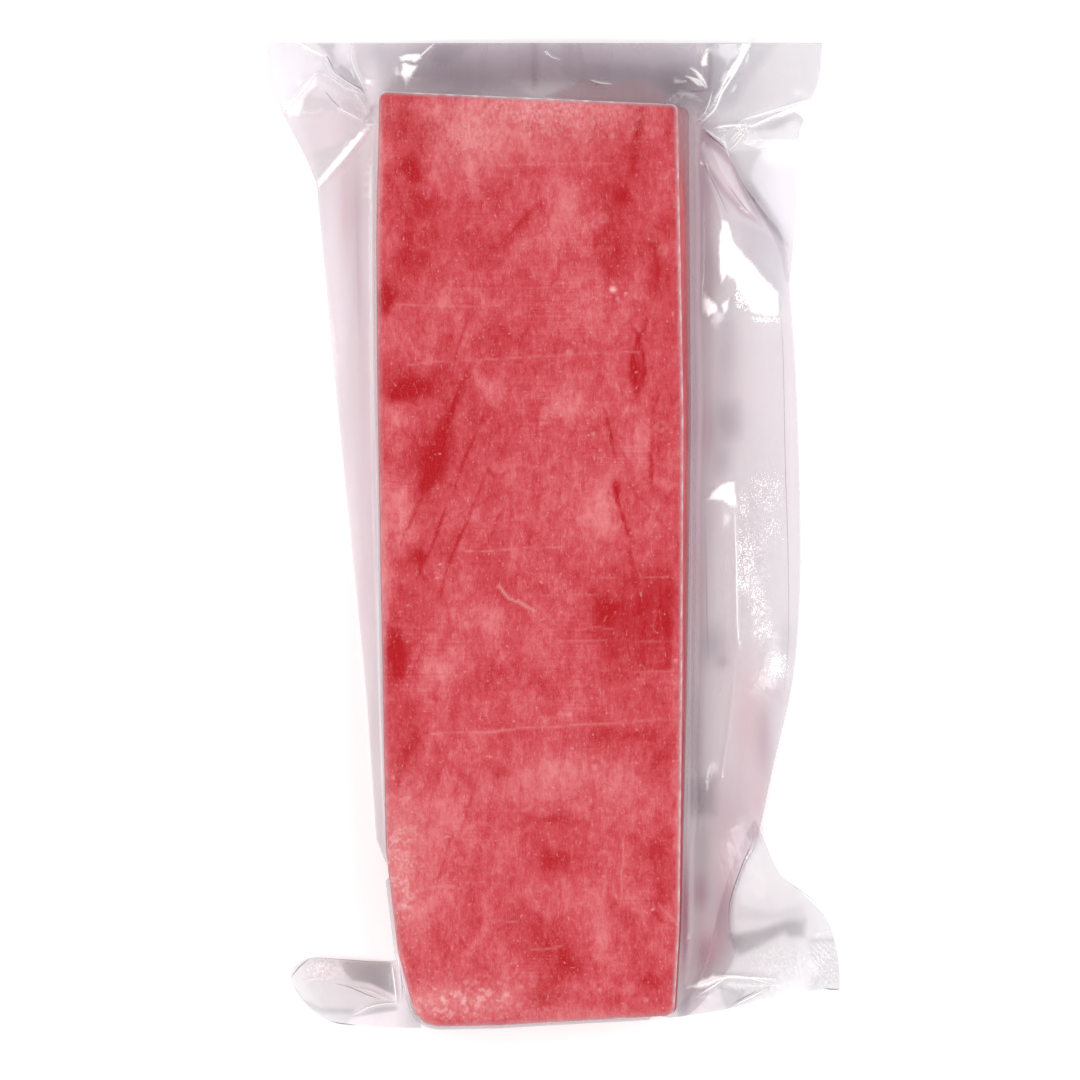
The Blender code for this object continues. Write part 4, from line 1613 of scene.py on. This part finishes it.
def make_film_bag(block_settings, settings):
    """The bag: both webs as one closed skin, drawn over the block and out into the fins."""
    thickness = block_height(block_settings)
    block = BlockOutline()
    edge = bag_outline(block, settings.stations)
    base, top = block.at(evened_starts(edge, block))
    normals = outward(base)
    wall = base + normals * FILM_CLEARANCE
    reach = np.linalg.norm(edge - wall, axis=1)
    tent = np.minimum(TENT_RADIUS, TENT_SHARE * reach)

    def fin_places(shares):
        return wall + (edge - wall) * shares[:, None]

    def web(shares, side):
        places = fin_places(shares)
        relief, white = film_relief(places)
        relief = relief * np.clip(shares * reach / RELIEF_REACH, 0, 1)
        middle = np.maximum(fin_height(places, shares * reach) + relief, 2 * WEB_GAP)
        return raised(places, middle + side * WEB_GAP), white

    rings = []

    def add(points, tone, white, veil_scale, shown=0.0):
        rings.append((points, tone, white, veil_scale, shown))

    even = np.ones(len(edge))
    plain = np.zeros(len(edge))
    centre = base.mean(axis=0)
    floor = centre + (base - centre) * FLOOR_SHARE
    add(raised(floor, FLOOR_CLEARANCE), film_tones(base), plain, FOOT_VEIL)
    add(raised(wall, FLOOR_CLEARANCE), film_tones(base), plain, FOOT_VEIL)
    for step in range(1, UNDER_RINGS + 1):
        points, white = web(even * step / UNDER_RINGS, -1)
        points[:, 2] = np.maximum(points[:, 2], FLOOR_CLEARANCE)
        add(points, film_tones(points), plain, UNDER_VEIL)
    foot = tent / reach
    for step in range(settings.fin_rings + 1):
        points, white = web(1 - (1 - foot) * step / settings.fin_rings, 1)
        add(points, film_tones(points), white, 1.0, shown=1.0)
    for step in range(1, TENT_RINGS + 1):
        angle = math.pi / 2 * step / TENT_RINGS
        points, white = web(tent * (1 - math.sin(angle)) / reach, 1)
        points[:, 2] += tent * (1 - math.cos(angle))
        add(points, film_tones(points), white * (1 - step / TENT_RINGS), 1.0, shown=1.0)
    roof = thickness + FILM_CLEARANCE
    tent_top = rings[-1][0][:, 2]
    waves = [Vector((x, y, 0.0)) / WRINKLE_WAVE for x, y in base]
    wrinkles = np.array([noise.noise(wave) for wave in waves])
    for step in range(1, WALL_RINGS + 1):
        share = step / WALL_RINGS
        heights = tent_top * (1 - share) + (roof - FILM_EDGE) * share
        up = (heights / thickness)[:, None]
        out = FILM_CLEARANCE + WRINKLE_HEIGHT * math.sin(math.pi * share) * (wrinkles + 0.6)
        points = base + (top - base) * up + normals * out[:, None]
        fading = WALL_VEIL + (1 - WALL_VEIL) * (1 - share) ** 3
        mist = in_patch(*photo_pixels(points), *MOUTH_MIST)
        add(raised(points, heights), film_tones(points), plain, fading + (1 - fading) * mist)
    for step in range(1, FILM_EDGE_RINGS + 1):
        angle = math.pi / 2 * step / FILM_EDGE_RINGS
        points = top + normals * (FILM_CLEARANCE - FILM_EDGE * (1 - math.cos(angle)))
        # A painted highlight along the block's wrapped edges, stronger on the right and top sides.
        sides = np.where(normals < 0, LIP_HIGHLIGHT_LEFT_BOTTOM, LIP_HIGHLIGHT_RIGHT_TOP) * normals**2
        lip_highlight = sides.sum(axis=1) * math.cos(angle) * (0.7 + 0.5 * wrinkles)
        heights = roof - FILM_EDGE * (1 - math.sin(angle))
        add(raised(points, heights), film_tones(points), plain + lip_highlight, FILM_EDGE_VEIL)
    middle = top.mean(axis=0)
    half_size = (top.max(axis=0) - top.min(axis=0)) / 2
    for inset in ROOF_INSETS:
        points = middle + (top - middle) * (1 - inset / half_size)
        add(raised(points, roof), film_tones(points), plain, ROOF_VEIL)

    bm = bmesh.new()
    tone_layer = bm.verts.layers.float_color.new("tone")
    veil_layer = bm.verts.layers.float.new("veil")
    crinkle_layer = bm.verts.layers.float.new("crinkle")
    sparkle_layer = bm.verts.layers.float.new("sparkle")
    glint_layer = bm.verts.layers.float.new("glint")
    ring = None
    for points, tone, white, veil_scale, shown in rings:
        if ring is None:
            ring = [bm.verts.new(point) for point in points]
            bm.faces.new(ring)
        else:
            ring = grow(bm, ring, points)
        colours, veils = film_looks(tone, white, settings.least_veil)
        veils = veils * (veil_scale + (1 - veil_scale) * white)
        glints = film_glints(points, white)
        marks = zip(ring, colours, veils, film_crinkles(points), film_sparkles(points), glints)
        for vert, colour, veil, crinkle, sparkle, glint in marks:
            vert[tone_layer] = (*colour, 1.0)
            vert[veil_layer] = veil
            vert[crinkle_layer] = crinkle
            vert[sparkle_layer] = sparkle * shown
            vert[glint_layer] = glint
    bm.faces.new(ring)
    bmesh.ops.recalc_face_normals(bm, faces=bm.faces)
    return new_piece("film_bag", bm, BAG_NODE, film_material(settings, "clear_film"))


def make_flap(name, tuck, edge, settings, textured=False):
    """A flap of film between a line tucked under a fin and the flap's own edge."""
    bm = bmesh.new()
    bmesh.ops.create_grid(bm, x_segments=FLAP_ACROSS, y_segments=FLAP_ALONG, size=1.0)
    grid = np.array([v.co for v in bm.verts])[:, :2] / 2 + 0.5
    inner = at_shares(smooth_curve(tuck), grid[:, 0])
    outer = at_shares(edge, grid[:, 0])
    places = inner + (outer - inner) * grid[:, 1:2]
    block = BlockOutline()
    foot = block.at(block.nearest(places))[0]
    distance = np.linalg.norm(places - foot, axis=1)
    relief, white = film_relief(places)
    heights = fin_height(places, distance) + relief - TUCK_DROP
    if textured:
        px, py = photo_pixels(places)
        left, top, bottom = SEAL_BAND
        soft_across, soft_along = SEAL_SOFTNESS
        inside = np.clip((px - left) / soft_across, 0, 1)
        inside *= np.clip((py - top) / soft_along, 0, 1) * np.clip((bottom - py) / soft_along, 0, 1)
        ribs = np.sin(px * 2 * math.pi / SEAL_RIB) * np.sin(py * 2 * math.pi / SEAL_RIB)
        heights += inside * ribs * SEAL_RIB_HEIGHT
        white = np.maximum(white, inside * SEAL_WHITE * (1 + ribs))
    heights = np.maximum(heights, FLOOR_CLEARANCE + FLAP_THICKNESS)
    for vert, point in zip(bm.verts, raised(places, heights)):
        vert.co = point
    bmesh.ops.recalc_face_normals(bm, faces=bm.faces)
    if sum(f.normal.z for f in bm.faces) < 0:
        bmesh.ops.reverse_faces(bm, faces=bm.faces)
    material = bpy.data.materials.get("flap_film") or film_material(settings, "flap_film")
    piece = new_piece(name, bm, BAG_NODE, material)
    colours, veils = film_looks(film_tones(places), white, settings.least_veil)
    set_colours(piece.data, "tone", colours)
    set_values(piece.data, "veil", 1 - np.sqrt(1 - np.clip(veils * FLAP_VEIL, 0, MOST_VEIL)))
    set_values(piece.data, "crinkle", film_crinkles(places))
    set_values(piece.data, "sparkle", film_sparkles(places))
    set_values(piece.data, "glint", film_glints(places, white))
    wall = piece.modifiers.new("Thickness", "SOLIDIFY")
    wall.thickness = FLAP_THICKNESS * MM
    wall.offset = -1.0
    return piece


def make_creases(settings):
    """The sharp white creases, partly painted highlight, and the darker fold lines of painted shade, as
    fine ridges along the folds of the film.
    """
    lines = []
    for points, half_width, _, whiteness in CREASES:
        if whiteness >= CREASE_SHOWN:
            veil = CREASE_AND_HIGHLIGHT_VEIL * min(1.0, CREASE_FAINT + whiteness)
            # The whitest creases also glow a little, a painted glow.
            glint = max(0.0, whiteness - CREASE_SHOWN)
            lines.append((points, half_width, (CREASE_AND_HIGHLIGHT_WHITE,) * 3, veil, glint))
    for half_width, tone, points in SHADES:
        colour, veil = film_looks(np.array([tone]), np.zeros(1), settings.least_veil)
        lines.append((points, half_width, colour[0], veil[0], 0.0))
    block = BlockOutline()
    bm = bmesh.new()
    tone_layer = bm.verts.layers.float_color.new("tone")
    veil_layer = bm.verts.layers.float.new("veil")
    glint_layer = bm.verts.layers.float.new("glint")
    for points, half_width, colour, line_veil, glint in lines:
        path = smooth_curve([photo_place(*point) for point in points])
        count = max(8, round(lengths_along(path)[-1] / CREASE_STEP))
        path = at_shares(path, np.linspace(0, 1, count + 1))
        along = np.gradient(path, axis=0)
        across = np.stack([-along[:, 1], along[:, 0]], axis=1)
        across /= np.linalg.norm(along, axis=1)[:, None]
        foot = block.at(block.nearest(path))[0]
        distance = np.linalg.norm(path - foot, axis=1)
        relief, _ = film_relief(path)
        relief = relief * np.clip(distance / RELIEF_REACH, 0, 1)
        heights = fin_height(path, distance) + relief + 2 * WEB_GAP
        taper = np.sin(math.pi * np.clip(np.linspace(0, 1, count + 1), 0.04, 0.96)) ** 0.6
        sizes = taper * half_width * CREASE_SHARE
        ring = None
        for place, side, height, size in zip(path, across, heights, sizes):
            low = height - CREASE_SINK
            section = [(*(place - side * size), low), (*place, low - size / 4)]
            section += [(*(place + side * size), low), (*place, height + size / 6)]
            if ring is None:
                ring = [bm.verts.new(point) for point in section]
                bm.faces.new(ring)
            else:
                ring = grow(bm, ring, section)
            for vert in ring:
                vert[tone_layer] = (*colour, 1.0)
                vert[veil_layer] = line_veil
                vert[glint_layer] = glint
        bm.faces.new(ring)
    bmesh.ops.recalc_face_normals(bm, faces=bm.faces)
    material = bpy.data.materials.get("flap_film") or film_material(settings, "flap_film")
    piece = new_piece("film_creases", bm, BAG_NODE, material)
    for name in ("crinkle", "sparkle"):
        set_values(piece.data, name, np.zeros(len(piece.data.vertices)))
    return piece


def make_flaps(settings):
    """The three flaps under the bag's fins, and the creases on them and on the fins."""
    corner_edge = np.vstack([smooth_curve(CORNER_EDGE_SIDE), smooth_curve(CORNER_EDGE_END)[1:]])
    make_flap("gusset_flap", GUSSET_TUCK, smooth_curve(GUSSET_EDGE), settings)
    make_flap("corner_flap", CORNER_TUCK, corner_edge, settings, textured=True)
    make_flap("ear_flap", EAR_TUCK, smooth_curve(EAR_EDGE), settings)
    make_creases(settings)


def add_softbox(name, place, size, radiance):
    """A rectangular light of this brightness, aimed at the pack."""
    light = bpy.data.lights.new(name, "AREA")
    light.shape = "RECTANGLE"
    light.size, light.size_y = size
    light.energy = radiance * math.pi * size[0] * size[1]
    lamp = bpy.data.objects.new(name, light)
    bpy.context.scene.collection.objects.link(lamp)
    lamp.location = place
    lamp.rotation_euler = Vector(place).to_track_quat("Z", "Y").to_euler()
    lamp.visible_camera = False
    return lamp


def floor_material(settings):
    """A pale, dull floor with a faint glow, so that it stays white next to the pack."""
    recipe = Recipe("pale_floor")
    mottle = recipe.noise((3, 3, 3), detail=2.0)
    colour = recipe.mixed(mottle, opaque(settings.floor), opaque([c * 0.99 for c in settings.floor]))
    return recipe.finish(
        Base_Color=colour,
        Roughness=0.9,
        Specular_IOR_Level=0.1,
        Emission_Color=(1.0, 1.0, 1.0, 1.0),
        Emission_Strength=FLOOR_GLOW,
    )


def make_studio(settings):
    """A pale floor, soft light all round, the softboxes and a camera straight above."""
    bm = bmesh.new()
    bmesh.ops.create_grid(bm, x_segments=8, y_segments=8, size=FLOOR_SIZE / 2)
    bmesh.ops.translate(bm, vec=(0, 0, -FLOOR_DROP), verts=bm.verts)
    mesh = bpy.data.meshes.new("floor")
    bm.to_mesh(mesh)
    bm.free()
    mesh.materials.append(floor_material(settings))
    floor = bpy.data.objects.new("floor", mesh)
    bpy.context.scene.collection.objects.link(floor)
    for softbox in SOFTBOXES:
        add_softbox(*softbox)
    scene = bpy.context.scene
    world = bpy.data.worlds.new("studio")
    world.use_nodes = True
    background = world.node_tree.nodes["Background"]
    background.inputs["Color"].default_value = (1.0, 1.0, 1.0, 1.0)
    background.inputs["Strength"].default_value = settings.ambient
    scene.world = world
    scene.view_settings.view_transform = "Standard"
    camera = bpy.data.objects.new("camera", bpy.data.cameras.new("camera"))
    scene.collection.objects.link(camera)
    camera.data.lens = settings.lens
    frame_width = 2 * PHOTO_MIDDLE * PHOTO_MM * MM
    distance = frame_width * settings.lens / camera.data.sensor_width
    x, y = photo_place(PHOTO_MIDDLE, PHOTO_MIDDLE)
    camera.location = (x * MM, y * MM, distance)
    camera.data.clip_end = 4 * distance
    scene.camera = camera


class SAKU_OT_tuna_block(bpy.types.Operator):
    """Make the frozen block"""

    bl_idname = "saku.tuna_block"
    bl_label = "Tuna block"

    def execute(self, context):
        make_tuna_block(context.scene.saku_block)
        return {"FINISHED"}


class SAKU_OT_film_bag(bpy.types.Operator):
    """Make the bag's film, drawn over the block"""

    bl_idname = "saku.film_bag"
    bl_label = "Film bag"

    def execute(self, context):
        make_film_bag(context.scene.saku_block, context.scene.saku_film)
        return {"FINISHED"}


class SAKU_OT_film_flaps(bpy.types.Operator):
    """Make the folded corners that stick out from under the bag"""

    bl_idname = "saku.film_flaps"
    bl_label = "Film flaps"

    def execute(self, context):
        make_flaps(context.scene.saku_film)
        return {"FINISHED"}


class SAKU_OT_studio(bpy.types.Operator):
    """Make the floor, the lights and the camera"""

    bl_idname = "saku.studio"
    bl_label = "Studio"

    def execute(self, context):
        make_studio(context.scene.saku_studio)
        return {"FINISHED"}


class SAKU_PT_panel(bpy.types.Panel):
    """Lists the pieces of the pack"""

    bl_idname = "SAKU_PT_panel"
    bl_label = "Tuna block"
    bl_space_type = "VIEW_3D"
    bl_region_type = "UI"
    bl_category = "Saku"

    def draw(self, context):
        for operator in OPERATORS:
            self.layout.operator(operator.bl_idname)
        for group, made_of in GROUPS.items():
            for name in made_of.__annotations__:
                self.layout.prop(getattr(context.scene, group), name)


OPERATORS = (SAKU_OT_tuna_block, SAKU_OT_film_bag, SAKU_OT_film_flaps, SAKU_OT_studio)
GROUPS = {"saku_block": BlockSettings, "saku_film": FilmSettings, "saku_studio": StudioSettings}


def register():
    for group in GROUPS.values():
        bpy.utils.register_class(group)
    for name, group in GROUPS.items():
        setattr(bpy.types.Scene, name, PointerProperty(type=group))
    for operator in OPERATORS:
        bpy.utils.register_class(operator)
    bpy.utils.register_class(SAKU_PT_panel)


def unregister():
    bpy.utils.unregister_class(SAKU_PT_panel)
    for operator in OPERATORS:
        bpy.utils.unregister_class(operator)
    for name, group in GROUPS.items():
        delattr(bpy.types.Scene, name)
        bpy.utils.unregister_class(group)


def main():
    register()
    bpy.ops.saku.tuna_block()
    bpy.ops.saku.film_bag()
    bpy.ops.saku.film_flaps()
    bpy.ops.saku.studio()


if __name__ == "__main__":
    main()
